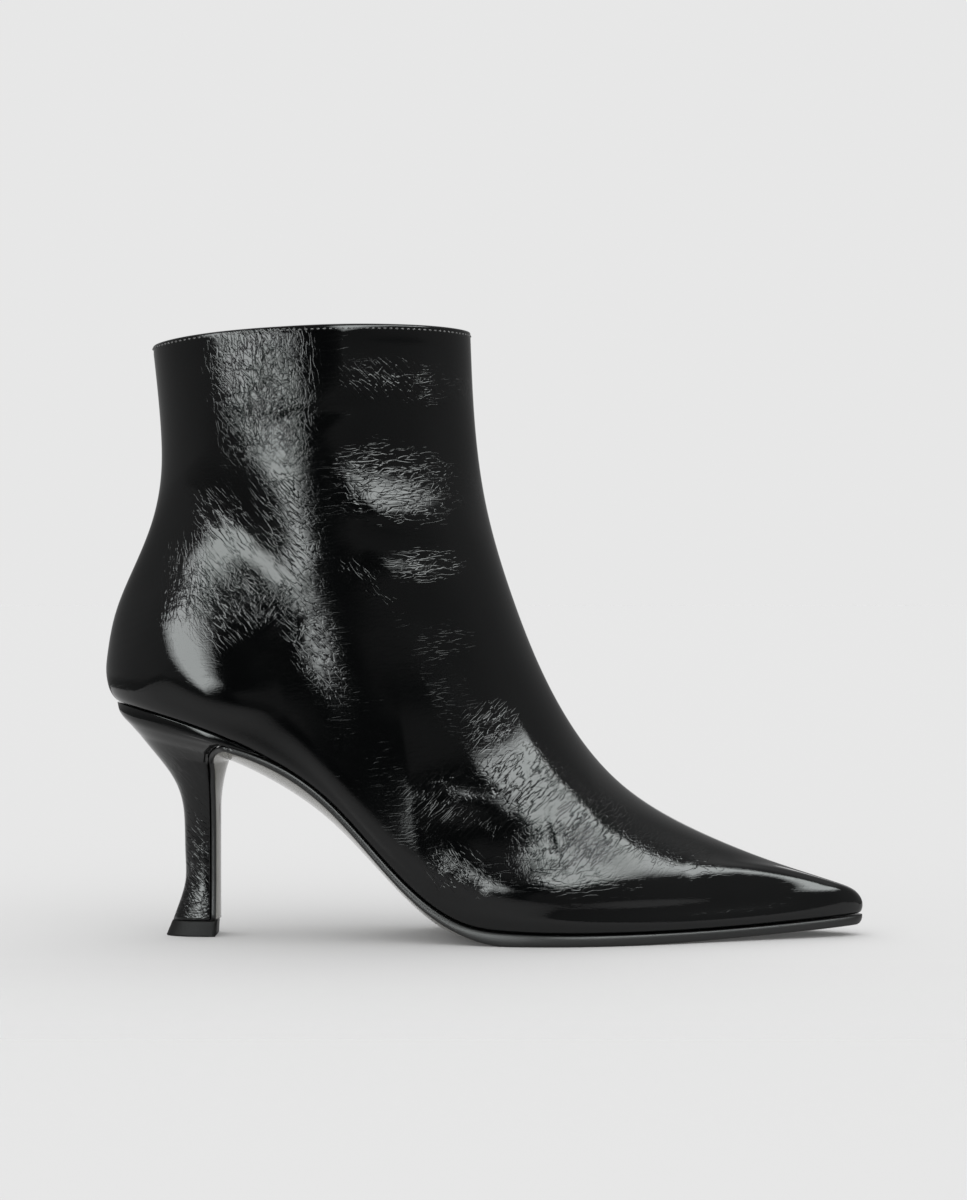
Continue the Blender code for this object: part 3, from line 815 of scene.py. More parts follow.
@dataclass
class Upper:
    """The upper: crinkled leather folded in at the collar, its lining and its stitching."""

    last: Last
    wall: float = 1.8
    columns: int = 480
    rows: int = 180
    facing_rows: int = 45
    row_crowding: float = 0.55
    row_curve: float = 2.2
    collar_roll: float = 0.9
    collar_drop: float = 0.8
    feather_round: float = 1.1
    feather_tuck: float = 0.6
    stitch_line: float = 1.6
    stitch_groove: float = 0.16
    groove_width: float = 0.45
    stitch_pitch: float = 2.0
    stitch_length: float = 1.25
    stitch_width: float = 0.62
    stitch_sink: float = 0.2        # share of its width that lies above the groove's floor
    probe: float = 0.002
    lining_top: float = 7.0
    lining_thick: float = 0.5
    lining_columns: int = 160
    lining_rows: int = 60
    lining_foot: float = 0.012
    lining_gap: float = 0.02
    roll_steps: int = 8
    slack_depth: float = 0.09
    slack_fade: Range = (-70.0, -30.0)      # along -X, so that the toe stays taut
    edge_calm: Range = (0.8, 4.0)
    collar_calm: Range = (0.2, 8.0)
    outline_calm: Range = (0.15, 0.75)
    plain_wrinkles: float = 0.05
    creases: tuple[Crease, ...] = CREASES
    patches: tuple[WrinklePatch, ...] = WRINKLE_PATCHES

    def _rises(self, count: int) -> np.ndarray:
        """Rises of mesh rows, close together where the toe turns over and wider up the shaft."""
        even = np.linspace(0.0, 1.0, count)
        top = 1 - self.collar_drop / self.last.front_run
        return top * (self.row_crowding * even**self.row_curve + (1 - self.row_crowding) * even)

    def _folds(self, grid: np.ndarray, normals: np.ndarray) -> np.ndarray:
        """How far creases and slack press a grid in, less near its edges and the side view's outline."""
        points = grid.reshape(-1, 3)
        depth = sum((crease_depth(crease, points) for crease in self.creases), np.zeros(len(points)))
        slack = slack_wave(points) * smooth_step(-points[:, 0], *self.slack_fade) * self.slack_depth
        calm = smooth_step(np.linalg.norm(grid - grid[:1], axis=2), *self.edge_calm)
        calm = calm * smooth_step(np.linalg.norm(grid - grid[-1:], axis=2), *self.collar_calm)
        calm = calm * smooth_step(np.abs(normals[..., 1]), *self.outline_calm)
        return (depth + slack).reshape(calm.shape) * calm

    def _edges(self, grid: np.ndarray) -> np.ndarray:
        """How far the leather stands in along its lower edge and in the groove of the collar's stitches."""
        to_edge = np.linalg.norm(grid - grid[:1], axis=2)
        tuck = self.feather_tuck / self.feather_round * quarter_round(to_edge, self.feather_round)
        to_collar = np.linalg.norm(grid - grid[-1:], axis=2) + self.collar_drop
        off = (to_collar - self.stitch_line) / self.groove_width
        return tuck + self.stitch_groove * np.exp(-(off**2))

    def build_shell(self, finish: bpy.types.Material) -> bpy.types.Object:
        """The leather: outside with its creases, rolled collar edge and plain back, as one closed shell."""
        smooth = self.last.surface(self._rises(self.rows), self.columns)
        normals = grid_normals(smooth)
        folds = self._folds(smooth, normals)
        outside = smooth - normals * (folds + self._edges(smooth))[..., None]
        rim, rim_normal = outside[-1], normals[-1]
        roll = []
        for angle in np.linspace(0.0, math.pi, self.roll_steps)[1:-1]:
            lean = self.collar_roll * (1 - math.cos(angle))
            lift = self.collar_drop * math.sin(angle)
            roll.append(rim - rim_normal * lean + np.array([0.0, 0.0, lift]))
        back_rows = np.unique(np.linspace(0, self.rows - 1, self.facing_rows).astype(int))[::-1]
        inside = smooth[back_rows] - normals[back_rows] * (folds[back_rows] + self.wall)[..., None]
        points = np.concatenate([outside, np.array(roll), inside]).reshape(-1, 3)
        rings = self.rows + len(roll) + len(back_rows)
        shell = make_piece("upper_shell", points, ring_faces(rings, self.columns, closed=True), finish)
        flat = np.concatenate([smooth, np.array(roll), smooth[back_rows]]).reshape(-1, 3)
        write_wrinkles(shell, flat, self.patches, self.plain_wrinkles)
        return settle(shell, "upper_leather", "upper")

    def build_lining(self, finish: bpy.types.Material) -> bpy.types.Object:
        """The lining: a thin closed sheet inside the leather that stops below the collar's folded facing."""
        top = 1 - self.lining_top / self.last.front_run
        rises = np.linspace(self.lining_foot, top, self.lining_rows)
        smooth = self.last.surface(rises, self.lining_columns)
        normals = grid_normals(smooth)
        folds = self._folds(smooth, normals)[..., None]
        outer = smooth - normals * (folds + self.wall + self.lining_gap)
        inner = (smooth - normals * (folds + self.wall + self.lining_thick))[::-1]
        points = np.concatenate([outer, inner]).reshape(-1, 3)
        faces = ring_faces(2 * self.lining_rows, self.lining_columns, closed=True)
        return settle(make_piece("upper_lining", points, faces, finish), "insole_leather")

    def _stitch_tree(self, finish: bpy.types.Material) -> bpy.types.NodeTree:
        """Geometry nodes that sew stitches along a line of edges, with pitch, length and width as inputs."""
        tree = bpy.data.node_groups.new("collar_stitching", "GeometryNodeTree")
        shape, number = "NodeSocketGeometry", "NodeSocketFloat"
        for name, kind, way in (("Geometry", shape, "INPUT"), ("Pitch", number, "INPUT"),
                                ("Length", number, "INPUT"), ("Width", number, "INPUT"),
                                ("Geometry", shape, "OUTPUT")):
            tree.interface.new_socket(name, in_out=way, socket_type=kind)
        add = tree.nodes.new
        entry, leave = add("NodeGroupInput"), add("NodeGroupOutput")
        line = add("GeometryNodeMeshToCurve")
        spaced = add("GeometryNodeResampleCurve")
        spaced.mode = "LENGTH"
        bead = add("GeometryNodeMeshUVSphere")
        bead.inputs["Segments"].default_value = 8
        bead.inputs["Rings"].default_value = 5
        bead.inputs["Radius"].default_value = 0.5
        size = add("ShaderNodeCombineXYZ")
        stitch = add("GeometryNodeTransform")
        tangent = add("GeometryNodeInputTangent")
        turn = add("FunctionNodeAlignRotationToVector")
        turn.axis = "X"
        sewn = add("GeometryNodeInstanceOnPoints")
        real = add("GeometryNodeRealizeInstances")
        smooth = add("GeometryNodeSetShadeSmooth")
        dye = add("GeometryNodeSetMaterial")
        dye.inputs["Material"].default_value = finish
        links = (
            (entry, "Geometry", line, "Mesh"),
            (line, "Curve", spaced, "Curve"),
            (entry, "Pitch", spaced, "Length"),
            (entry, "Length", size, "X"),
            (entry, "Width", size, "Y"),
            (entry, "Width", size, "Z"),
            (bead, "Mesh", stitch, "Geometry"),
            (size, "Vector", stitch, "Scale"),
            (tangent, "Tangent", turn, "Vector"),
            (spaced, "Curve", sewn, "Points"),
            (stitch, "Geometry", sewn, "Instance"),
            (turn, "Rotation", sewn, "Rotation"),
            (sewn, "Instances", real, "Geometry"),
            (real, "Geometry", smooth, "Geometry"),
            (smooth, "Geometry", dye, "Geometry"),
            (dye, "Geometry", leave, "Geometry"),
        )
        for source, leaving, target, entering in links:
            tree.links.new(source.outputs[leaving], target.inputs[entering])
        return tree

    def build_stitches(self, finish: bpy.types.Material) -> bpy.types.Object:
        """One row of stitches round the collar, sunk a little in its groove."""
        below = (self.stitch_line - self.collar_drop) / self.last.front_run
        rise = self._rises(2)[-1] - below
        rings = self.last.surface(np.array([rise - self.probe, rise, rise + self.probe]), self.columns)
        normals = grid_normals(rings)[1]
        line = rings[1] - normals * (self.stitch_groove - self.stitch_width * self.stitch_sink)
        mesh = bpy.data.meshes.new("collar_stitch_line")
        edges = [(i, (i + 1) % self.columns) for i in range(self.columns)]
        mesh.from_pydata(fit_to_frame(line).tolist(), edges, [])
        carrier = bpy.data.objects.new("collar_stitch_line", mesh)
        bpy.context.scene.collection.objects.link(carrier)
        sewing = carrier.modifiers.new("sewing", "NODES")
        sewing.node_group = self._stitch_tree(finish)
        sizes = {"Pitch": self.stitch_pitch, "Length": self.stitch_length, "Width": self.stitch_width}
        for socket in sewing.node_group.interface.items_tree:
            if socket.in_out == "INPUT" and socket.name in sizes:
                sewing[socket.identifier] = sizes[socket.name] * MM
        whole = carrier.evaluated_get(bpy.context.evaluated_depsgraph_get())
        sewn = bpy.data.meshes.new_from_object(whole)
        bpy.data.objects.remove(carrier)
        stitches = bpy.data.objects.new("collar_stitches", sewn)
        bpy.context.scene.collection.objects.link(stitches)
        return settle(stitches, "upper_leather")


# Heel, sole and insole


class HeelLevel(NamedTuple):
    """One level of the heel, from its back point to its front point, with its half width."""

    back_x: float
    back_z: float
    front_x: float
    front_z: float
    half_width: float
    seat_share: float       # 1 where the outline follows the seat of the upper


class SoleBand(NamedTuple):
    """Edge thickness and extra depth at the middle of the sole, at one place along its run."""

    x: float
    edge: float
    crown: float


class SoleStation(NamedTuple):
    """One cross-section of the sole: its inner face line, the way down through it, and its sizes."""

    x: float
    z: float
    down_x: float
    down_z: float
    lateral: float
    medial: float
    edge: float
    crown: float


@dataclass
class Bottom:
    """Heel, top lift, sole and insole, on the same lines as their CAD solids."""

    last: Last
    lift_height: float = 5.2
    tread_front_x: float = 46.0
    toe_spring: float = 3.9
    tread_curve: float = 1.6
    tip_round: float = 2.5
    tip_bluntness: float = 0.05
    overhang: float = 0.6
    edge_draw_in: float = 0.5
    under_draw_in: float = 0.6      # share of the edge's that is left below
    under_reach: float = 0.985
    least_half: float = 0.3
    upright_from_x: float = -20.0
    breast_x: float = -90.7
    turn_start_x: float = -83.0
    wedge_start_x: float = -58.0
    wedge_drop: float = 2.0
    turn_clearance: float = 0.5
    breast_edge: float = 1.7
    breast_crown: float = 1.1
    breast_swell: float = 2.6
    swell_length: float = 16.0
    breast_crowding: float = 1.2
    heel_round: float = 2.3
    seat_round: float = 0.4
    seat_follow: float = 0.95
    lift_round: float = 0.45
    insole_thick: float = 2.0
    insole_inset: float = 3.4
    insole_tip_inset: float = 6.8
    insole_ends: float = 0.12
    insole_edge: float = 12.0
    insole_round: float = 1.2
    insole_dish: float = 0.3
    insole_stations: int = 90
    insole_columns: int = 17
    sole_stations: int = 130
    sole_inner: int = 9
    sole_side: int = 7
    sole_under: int = 25
    turn_stations: int = 24
    breast_stations: int = 40
    heel_rings: int = 90
    heel_columns: int = 33
    eased_rings: int = 5
    lift_rings: int = 8
    heel_wrinkles: float = 0.02
    waist: tuple[SoleBand, ...] = (
        SoleBand(-83.0, 1.8, 3.9), SoleBand(-60.0, 2.0, 4.9), SoleBand(-40.0, 2.0, 3.1),
        SoleBand(-20.0, 2.4, 2.9), SoleBand(-9.0, 3.0, 3.1), SoleBand(2.0, 4.2, 1.2),
        SoleBand(12.0, 4.3, 0.0),
    )
    heel_patches: tuple[WrinklePatch, ...] = (
        WrinklePatch("heel_neck", -101.0, 48.0, 12.0, 14.0, 0.0, Streak.FALLING, 0.7),
        WrinklePatch("heel_stem", -96.0, 24.0, 7.0, 16.0, 0.0, Streak.FALLING, 0.9),
        WrinklePatch("heel_foot", -97.0, 9.0, 9.0, 6.0, 0.0, Streak.LEVEL, 1.0),
    )

    def __post_init__(self) -> None:
        """Works out the turn from waist to heel breast and the heel's levels."""
        gap = self.last.seat_gap
        slope = float(self.sole_top(self.turn_start_x + 0.5) - self.sole_top(self.turn_start_x - 0.5))
        self.turn_start = math.atan2(1.0, -slope)
        self.turn_radius = (self.turn_start_x - self.breast_x) / (1 + math.cos(self.turn_start))
        self.turn_x = self.breast_x + self.turn_radius
        self.turn_z = float(self.sole_top(self.turn_start_x)) - self.turn_radius * math.sin(self.turn_start)
        front = self.breast_x - gap
        base = self.lift_height + gap
        self.levels = (
            HeelLevel(-122.2, 77.8, -72.0, 60.5, 26.0, 1.0),
            HeelLevel(-121.3, 75.6, -74.0, float(self.sole_top(-74.0)) + gap, 25.6, 0.95),
            HeelLevel(-120.0, 73.4, *self._on_turn(90), 24.4, 0.7),
            HeelLevel(-117.6, 70.5, *self._on_turn(120), 21.8, 0.3),
            HeelLevel(-114.6, 66.6, *self._on_turn(150), 18.4, 0.0),
            HeelLevel(-109.5, 60.2, *self._on_turn(180), 13.8, 0.0),
            HeelLevel(-104.4, 53.4, front, 50.5, 9.8, 0.0),
            HeelLevel(-102.3, 49.4, front, 47.0, 8.5, 0.0),
            HeelLevel(-100.7, 44.0, front, 42.5, 7.3, 0.0),
            HeelLevel(-100.0, 36.0, front, 35.5, 6.3, 0.0),
            HeelLevel(-99.75, 26.0, front, 26.0, 5.9, 0.0),
            HeelLevel(-99.8, 18.0, front, 18.0, 5.9, 0.0),
            HeelLevel(-101.2, 12.5, front, 12.5, 6.3, 0.0),
            HeelLevel(-103.75, base, front, base, 7.1, 0.0),
        )
        self.lift_levels = (
            HeelLevel(-103.9, self.lift_height, -89.0, self.lift_height, 7.2, 0.0),
            HeelLevel(LIFT_BACK_X, 0.0, -89.3, 0.0, 7.8, 0.0),
        )

    def _on_turn(self, degrees: float) -> tuple[float, float]:
        """A point of the heel's front where it follows the sole's turn, at an angle from its centre."""
        reach = self.turn_radius + self.turn_clearance
        angle = math.radians(degrees)
        return self.turn_x + reach * math.cos(angle), self.turn_z + reach * math.sin(angle)

    def sole_top(self, x: Any) -> np.ndarray:
        """Height of the sole's inner face: on the feather edge, then below the wedge of the heel."""
        share = (self.wedge_start_x - np.asarray(x, float)) / (self.wedge_start_x - self.turn_start_x)
        drop = self.wedge_drop * np.clip(share, 0.0, 2.0) ** 2
        return self.last.feather_z(x) - self.last.seat_gap / 2 - drop

    def _tread_z(self, x: float) -> float:
        """Height of the sole's underside along the forefoot."""
        tip = self.last.sections[0].front_x
        share = min(max((x - self.tread_front_x) / (tip - self.tread_front_x), 0.0), 1.0)
        return self.toe_spring * share**self.tread_curve

    def _breast_half(self, z: float) -> float:
        """Half width of the heel's breast at a height, from the top of the turn down."""
        levels = self.levels[:1:-1]
        return float(spline([h.front_z for h in levels], [h.half_width for h in levels], z))

    def _forefoot(self) -> list[SoleStation]:
        """Stations of the sole from its tip back to where it turns down the heel."""
        first, tip = self.last.sections[0].back_x, self.last.sections[0].front_x + self.overhang
        end = float(self.last.turn_of_share((self.turn_start_x - first) / (tip - first)))
        angles = np.linspace(math.pi - self.tip_bluntness, end, self.sole_stations)
        places = [b.x for b in self.waist]
        stations = []
        for x in first + (1 - np.cos(angles)) / 2 * (tip - first):
            top = float(self.sole_top(x))
            slope = float(self.sole_top(x + 0.5) - self.sole_top(x - 0.5))
            upright = min(max((x - self.upright_from_x) / (places[-1] - self.upright_from_x), 0.0), 1.0)
            down = np.array([slope * (1 - upright), -1.0])
            down = down / np.linalg.norm(down)
            if x > places[-1]:
                to_tip = min((tip - x) / self.tip_round, 1.0)
                edge, crown = (top - self._tread_z(x)) * math.sqrt(1 - (1 - to_tip) ** 2), 0.0
            else:
                edge, crown = spline(places, [(b.edge, b.crown) for b in self.waist], np.array([x]))[0]
            halves = [float(self.last.outline_half(x, side, self.overhang)) for side in Side]
            stations.append(SoleStation(x, top, *down, *halves, edge, max(crown, 0.0)))
        return stations

    def _breast(self, last: SoleStation) -> list[SoleStation]:
        """Stations round the turn and down the heel breast, after the last waist station."""
        top_half = self.levels[2].half_width
        stations = []
        for step in range(1, self.turn_stations + 1):
            share = step / self.turn_stations
            angle = self.turn_start + share * (math.pi - self.turn_start)
            z = self.turn_z + self.turn_radius * math.sin(angle)
            edge = last.edge + share * (self.breast_edge - last.edge)
            crown = last.crown + share * (self.breast_crown + self.breast_swell - last.crown)
            half = self._breast_half(z)
            halves = [half + (1 - share) * (wide - top_half) for wide in (last.lateral, last.medial)]
            stations.append(SoleStation(self.turn_x + self.turn_radius * math.cos(angle), z,
                                        -math.cos(angle), -math.sin(angle), *halves, edge, crown))
        foot = self.lift_height + 2 * self.last.seat_gap
        for step in range(1, self.breast_stations + 1):
            z = self.turn_z + (step / self.breast_stations) ** self.breast_crowding * (foot - self.turn_z)
            swell = max(1 - (self.turn_z - z) / self.swell_length, 0.0) ** 2
            half = self._breast_half(z)
            stations.append(SoleStation(self.breast_x, z, 1.0, 0.0, half, half, self.breast_edge,
                                        self.breast_crown + self.breast_swell * swell))
        return stations

    def _sole_ring(self, station: SoleStation) -> np.ndarray:
        """Points round one cross-section of the sole: inner face, rounded side, underside, other side."""
        across = np.linspace(-1.0, 1.0, self.sole_inner)
        turn = np.linspace(-math.pi / 2, math.pi / 2, self.sole_side + 2)[1:-1]
        under = np.linspace(self.under_reach, -self.under_reach, self.sole_under)
        side_depth = station.edge * (1 + np.sin(turn)) / 2
        side_inset = self.edge_draw_in * (1 - np.cos(turn))
        shares = np.concatenate([across, np.ones(len(turn)), under, -np.ones(len(turn))])
        over_inset = np.full(len(across), self.edge_draw_in)
        under_inset = np.full(len(under), self.edge_draw_in * self.under_draw_in)
        insets = np.concatenate([over_inset, side_inset, under_inset, side_inset[::-1]])
        under_depth = station.edge + station.crown * (1 - under**2)
        depths = np.concatenate([np.zeros(len(across)), side_depth, under_depth, side_depth[::-1]])
        half = np.where(shares > 0, station.medial, station.lateral)
        y = shares * np.maximum(half - insets, self.least_half)
        z = np.maximum(station.z + station.down_z * depths, 0.0)
        return np.column_stack([station.x + station.down_x * depths, y, z])

    def build_sole(self, finish: bpy.types.Material) -> bpy.types.Object:
        """The sole: tread, rounded waist and the tail that runs down the heel breast."""
        front = self._forefoot()
        rings = [self._sole_ring(s) for s in front + self._breast(front[-1])]
        faces = tube_faces(len(rings), len(rings[0]))
        sole = make_piece("sole_leather", np.concatenate(rings), faces, finish)
        counts = (self.sole_inner, self.sole_side, self.sole_under, self.sole_side)
        write_attribute(sole, "underside", np.tile(np.repeat([0.0, 0.0, 1.0, 0.0], counts), len(rings)))
        return settle(sole, "sole_leather", "outsole")

    def _level_ring(self, level: HeelLevel, inset: float) -> np.ndarray:
        """Points round one level of heel or lift, from its front lateral corner round the back."""
        angles = np.linspace(math.pi / 2, 0.0, self.heel_columns)
        share = 1 - np.cos(angles) ** (2 / self.heel_round)
        back_x = level.back_x + inset
        x = back_x + share * (level.front_x - back_x)
        round_half = (level.half_width - inset) * np.sin(angles) ** (2 / self.heel_round)
        z = level.back_z + share * (level.front_z - level.back_z)
        follow = float(np.clip((level.seat_share - self.seat_follow) / (1 - self.seat_follow), 0.0, 1.0))
        z = z + follow * (self.last.feather_z(x) - self.last.seat_gap / 2 - z)
        on_seat = np.maximum(x, self.last.sections[0].back_x)
        sides = {}
        for side in Side:
            seat = np.maximum(self.last.outline_half(on_seat, side) - inset, 0.0)
            seat = np.where(share > 0, seat, 0.0)
            half = level.seat_share * seat + (1 - level.seat_share) * round_half
            sides[side] = np.column_stack([x, side.value * half, z])
        return np.concatenate([sides[Side.LATERAL], sides[Side.MEDIAL][-2::-1]])

    def _loft(self, name: str, rings: Sequence[np.ndarray], finish: bpy.types.Material) -> bpy.types.Object:
        """A solid through rings from the top one down, closed above and below by strips across."""
        columns = len(rings[0])
        faces = ring_faces(len(rings), columns).tolist()
        base = (len(rings) - 1) * columns
        for i in range(self.heel_columns - 1):
            far = columns - 1 - i
            strip = (i, i + 1, far - 1, far) if i + 1 < far - 1 else (i, i + 1, far)
            faces.append(strip[::-1])
            faces.append(tuple(base + j for j in strip))
        return make_piece(name, np.concatenate(rings), faces, finish)

    def build_heel(self, finish: bpy.types.Material) -> bpy.types.Object:
        """The heel in its leather cover, with a rounded rim under the upper."""
        table = np.array(self.levels)
        knots = np.concatenate([[0.0], np.cumsum(np.hypot(np.diff(table[:, 0]), np.diff(table[:, 1])))])
        straight = [HeelLevel._fields.index(name) for name in ("front_x", "front_z", "seat_share")]
        rim = np.linspace(0.0, self.seat_round, self.eased_rings)[:-1]
        places = np.concatenate([rim, np.linspace(self.seat_round, knots[-1], self.heel_rings)])
        rings = []
        for place, row in zip(places, spline(knots, table, places)):
            for column in straight:
                row[column] = np.interp(place, knots, table[:, column])
            rings.append(self._level_ring(HeelLevel(*row), float(quarter_round(place, self.seat_round))))
        heel = self._loft("heel_cover", rings, finish)
        write_wrinkles(heel, np.concatenate(rings), self.heel_patches, self.heel_wrinkles)
        return settle(heel, "heel_leather", "heel")

    def build_lift(self, finish: bpy.types.Material) -> bpy.types.Object:
        """The top lift: a block of rubber with eased edges."""
        top, foot = (np.array(level) for level in self.lift_levels)
        height = self.lift_height
        eased = np.linspace(0.0, self.lift_round, self.eased_rings)
        plain = np.linspace(self.lift_round, height - self.lift_round, self.lift_rings)[1:-1]
        depths = np.concatenate([eased, plain, height - eased[::-1]])
        rings = []
        for depth in depths:
            inset = float(quarter_round(min(depth, height - depth), self.lift_round))
            rings.append(self._level_ring(HeelLevel(*(top + depth / height * (foot - top))), inset))
        return settle(self._loft("heel_lift", rings, finish), "lift_rubber", "top_lift")

    def build_insole(self, finish: bpy.types.Material) -> bpy.types.Object:
        """The insole under its leather sock, with a rounded edge and a slight dish."""
        seat = self.last.sections[0]
        first, last = seat.back_x + self.insole_inset, seat.front_x - self.insole_tip_inset
        ends, count = self.insole_ends, self.insole_columns
        turns = np.linspace(ends, math.pi - ends, self.insole_stations)
        across = np.linspace(-1.0, 1.0, count)
        rounding = quarter_round((1 - np.abs(across)) * self.insole_edge, self.insole_round)
        rings = []
        for x in first + (1 - np.cos(turns)) / 2 * (last - first):
            lateral, medial = (float(self.last.outline_half(x, side, -self.insole_inset)) for side in Side)
            y = np.where(across < 0, lateral, medial) * across
            low = float(self.last.feather_z(x)) + self.last.seat_gap / 2
            high = low + self.insole_thick - rounding - self.insole_dish * (1 - across**2)
            under = np.column_stack([np.full(count, x), y * self.under_reach, np.full(count, low)])
            over = np.column_stack([np.full(count, x), y, high])
            rings.append(np.concatenate([under, over[::-1]]))
        faces = tube_faces(len(rings), len(rings[0]))
        insole = make_piece("insole_sock", np.concatenate(rings), faces, finish)
        return settle(insole, "insole_leather", "insole")


# Studio


class SoftBox(NamedTuple):
    """A rectangular light, placed by the direction in which the boot sees it."""

    name: str
    azimuth: float          # degrees from the camera, positive to its right
    elevation: float
    width: float
    height: float
    roll: float             # degrees, positive where its right end is the higher one
    fade: float             # width of its soft edge
    radiance: float


@dataclass
class Studio:
    """Pale floor, two soft boxes in a grey tent, and the camera of the photograph."""

    aim: tuple[float, float, float] = (-0.03, 0.0, 0.11)
    backdrop: float = 0.80
    overhead: float = 2.0
    floor_shade: float = 0.46
    floor_glow: float = 0.06
    floor_half: float = 60.0
    table_half: float = 0.45
    table_front: float = 0.34
    table_fade: float = 0.07
    table_gap: float = 0.0001
    tent_radius: float = 1.9
    tent_reach: float = 165.0
    tent_low: float = -60.0
    tent_dim: float = 0.16
    tent_glow: float = 0.30
    tent_top: float = 0.6
    tent_columns: int = 141
    tent_rows: int = 76
    side_turn: Range = (15.0, 75.0)     # degrees over which it grows lighter to the sides
    foot_drop: Range = (2.0, 8.0)
    foot_loss: float = 0.5
    top_rise: Range = (38.0, 64.0)
    top_turn: Range = (30.0, 100.0)
    sky_from: float = 0.3
    sky_gain: float = 2.0
    slot: tuple[float, float, float, float] = (-14.0, -3.0, -14.0, 16.0)
    slot_lean: float = 2.0
    slot_edge: float = 4.0
    box_distance: float = 1.45
    box_layers: int = 4
    box_tint: Colour = (0.95, 1.0, 0.99)
    layer_step: float = 0.02
    camera_place: tuple[float, float, float] = (-0.00025, -0.950, 0.1115)
    lens: float = 85.5
    sensor: float = 36.0
    lights: tuple[SoftBox, ...] = (
        SoftBox("left_box", -35.2, 16.1, 1.41, 0.49, -42.0, 0.16, 10.2),
        SoftBox("right_box", 35.5, 32.5, 1.50, 0.46, 23.0, 0.16, 10.6),
    )

    def _toward(self, azimuth: float, elevation: float) -> Vector:
        """Unit direction from the boot, by azimuth from the camera and elevation in degrees."""
        a, e = math.radians(azimuth), math.radians(elevation)
        return Vector((math.sin(a) * math.cos(e), -math.cos(a) * math.cos(e), math.sin(e)))

    def _stage(self, name: str, points: Sequence, faces: Sequence,
               material: bpy.types.Material) -> bpy.types.Object:
        """A mesh that belongs to the studio and not to the boot."""
        mesh = bpy.data.meshes.new(name)
        mesh.from_pydata(points, [], faces)
        mesh.materials.append(material)
        prop = bpy.data.objects.new(name, mesh)
        bpy.context.scene.collection.objects.link(prop)
        return prop

    def _pale(self, name: str, solid: str = "") -> bpy.types.Material:
        """The floor's matt white, see-through where an attribute with a given name is low."""
        graph = Graph(name)
        return graph.surface({
            "Base Color": (*(self.floor_shade,) * 3, 1.0), "Roughness": 1.0, "Specular IOR Level": 0.0,
            "Emission Color": (1.0, 1.0, 1.0, 1.0), "Emission Strength": self.floor_glow,
            "Alpha": graph.attribute(solid) if solid else 1.0,
        })

    def build_floor(self) -> None:
        """A wide pale floor, the near part of it that gloss sees, and a backdrop as bright."""
        wide, half = self.floor_half, self.table_half
        low = -self.table_gap
        floor = [(-wide, -wide, low), (wide, -wide, low), (wide, wide, low), (-wide, wide, low)]
        self._stage("floor", floor, [(0, 1, 2, 3)], self._pale("pale_floor")).visible_glossy = False
        rows = ((-self.table_front, 0.0), (-self.table_fade, 1.0), (half, 1.0))
        points = [(x, y, 0.0) for y, _ in rows for x in (-half, half)]
        table = self._stage("table", points, [(0, 1, 3, 2), (2, 3, 5, 4)], self._pale("pale_table", "solid"))
        write_attribute(table, "solid", np.repeat([share for _, share in rows], 2))
        table.visible_diffuse = table.visible_shadow = False
        sky = Graph("studio", bpy.data.worlds)
        way = sky.add("ShaderNodeTexCoord", output="Generated")
        up = sky.add("ShaderNodeSeparateXYZ", None, {"Vector": way}, "Z")
        overhead = ((up - self.sky_from) * self.sky_gain).most(0.0).least(1.0)
        strength = self.backdrop + overhead * (self.overhead - self.backdrop)
        light = sky.add("ShaderNodeBackground", None, {"Color": (1.0, 1.0, 1.0, 1.0), "Strength": strength})
        sky.add("ShaderNodeOutputWorld", None, {"Surface": light})
        bpy.context.scene.world = sky.material

    def _tent_glow(self, azimuth: np.ndarray, elevation: np.ndarray) -> np.ndarray:
        """Brightness of the tent: dim in front and low down, pale above, dark in the camera's slot."""
        aside = np.abs(azimuth)
        glow = self.tent_dim + (self.tent_glow - self.tent_dim) * smooth_step(aside, *self.side_turn)
        glow = glow * (1 - self.foot_loss * smooth_step(-elevation, *self.foot_drop))
        above = smooth_step(elevation, *self.top_rise) * smooth_step(aside, *self.top_turn)
        glow = glow + self.tent_top * above
        left, right, low, high = self.slot
        edge = self.slot_edge
        past = azimuth - right - self.slot_lean * np.maximum(elevation, 0.0)
        across = smooth_step(azimuth, left - edge, left + edge) * smooth_step(-past, -edge, edge)
        upward = smooth_step(elevation, low - edge, low + edge)
        upward = upward * smooth_step(-elevation, -high - edge, edge - high)
        return glow * (1 - across * upward)

    def build_tent(self) -> None:
        """The grey tent round the boot, open behind it, that only gloss sees."""
        azimuths = np.linspace(-self.tent_reach, self.tent_reach, self.tent_columns)
        elevations = np.linspace(self.tent_low, 90.0, self.tent_rows)
        points = [tuple(Vector(self.aim) + self._toward(a, e) * self.tent_radius)
                  for e in elevations for a in azimuths]
        wide = len(azimuths)
        faces = [(i * wide + j, i * wide + j + 1, (i + 1) * wide + j + 1, (i + 1) * wide + j)
                 for i in range(len(elevations) - 1) for j in range(wide - 1)]
        graph = Graph("tent_cloth")
        tent = self._stage("tent", points, faces, graph.glow(graph.attribute("glow")))
        write_attribute(tent, "glow", self._tent_glow(*np.meshgrid(azimuths, elevations)).ravel())
        tent.visible_camera = tent.visible_diffuse = tent.visible_shadow = False

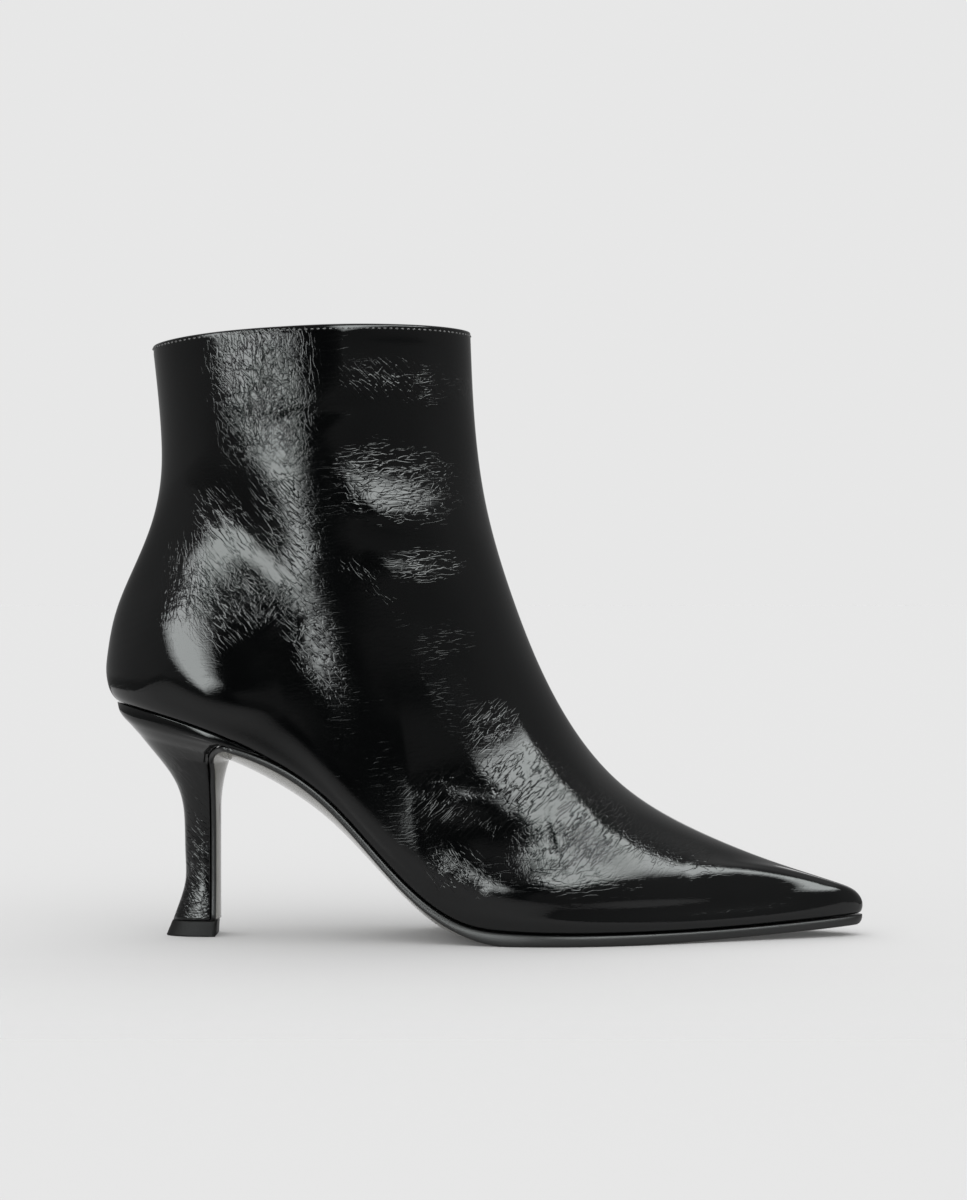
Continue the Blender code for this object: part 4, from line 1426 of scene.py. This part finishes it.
    def build_lights(self) -> None:
        """The soft boxes, each in layers of growing size so that its edge fades."""
        for box in self.lights:
            way = self._toward(box.azimuth, box.elevation)
            turn = (-way).to_track_quat("-Z", "Y") @ Quaternion((0.0, 0.0, 1.0), math.radians(box.roll))
            for layer in range(self.box_layers):
                grow = box.fade * (2 * layer / (self.box_layers - 1) - 1)
                data = bpy.data.lights.new(box.name, "AREA")
                data.shape = "RECTANGLE"
                data.color = self.box_tint
                data.size, data.size_y = box.width + grow, box.height + grow
                data.energy = box.radiance / self.box_layers * data.size * data.size_y * math.pi
                light = bpy.data.objects.new(box.name, data)
                light.location = Vector(self.aim) + way * (self.box_distance + layer * self.layer_step)
                light.rotation_euler = turn.to_euler()
                light.visible_camera = light.visible_diffuse = False
                bpy.context.scene.collection.objects.link(light)

    def build_camera(self) -> None:
        """The camera at the photograph's viewing angle."""
        data = bpy.data.cameras.new("camera")
        data.lens, data.sensor_width = self.lens, self.sensor
        camera = bpy.data.objects.new("camera", data)
        camera.location = self.camera_place
        camera.rotation_euler = (math.pi / 2, 0.0, 0.0)
        bpy.context.scene.collection.objects.link(camera)
        bpy.context.scene.camera = camera
        bpy.context.scene.view_settings.view_transform = "Standard"


def main() -> None:
    """Builds the boot's pieces in order, then the studio."""
    logging.basicConfig(level=logging.INFO, format="%(name)s: %(message)s")
    last = Last()
    patent = CrinkledPatent().build()
    lining = PlainGrain("lining_leather", (0.012, 0.012, 0.012), (0.026, 0.025, 0.024), 0.55, 0.9,
                        0.05).build()
    thread = PlainGrain("waxed_thread", (0.05, 0.05, 0.05), (0.09, 0.09, 0.09), 0.22, 0.25, 0.02,
                        coat=0.5).build()
    rubber = PlainGrain("lift_rubber", (0.006, 0.006, 0.006), (0.011, 0.011, 0.011), 0.5, 0.5, 0.03,
                        gloss=0.15).build()
    upper = Upper(last)
    upper.build_shell(patent)
    upper.build_lining(lining)
    upper.build_stitches(thread)
    bottom = Bottom(last)
    bottom.build_sole(PolishedSole().build())
    bottom.build_heel(patent)
    bottom.build_lift(rubber)
    bottom.build_insole(lining)
    studio = Studio()
    studio.build_floor()
    studio.build_tent()
    studio.build_lights()
    studio.build_camera()


if __name__ == "__main__":
    main()
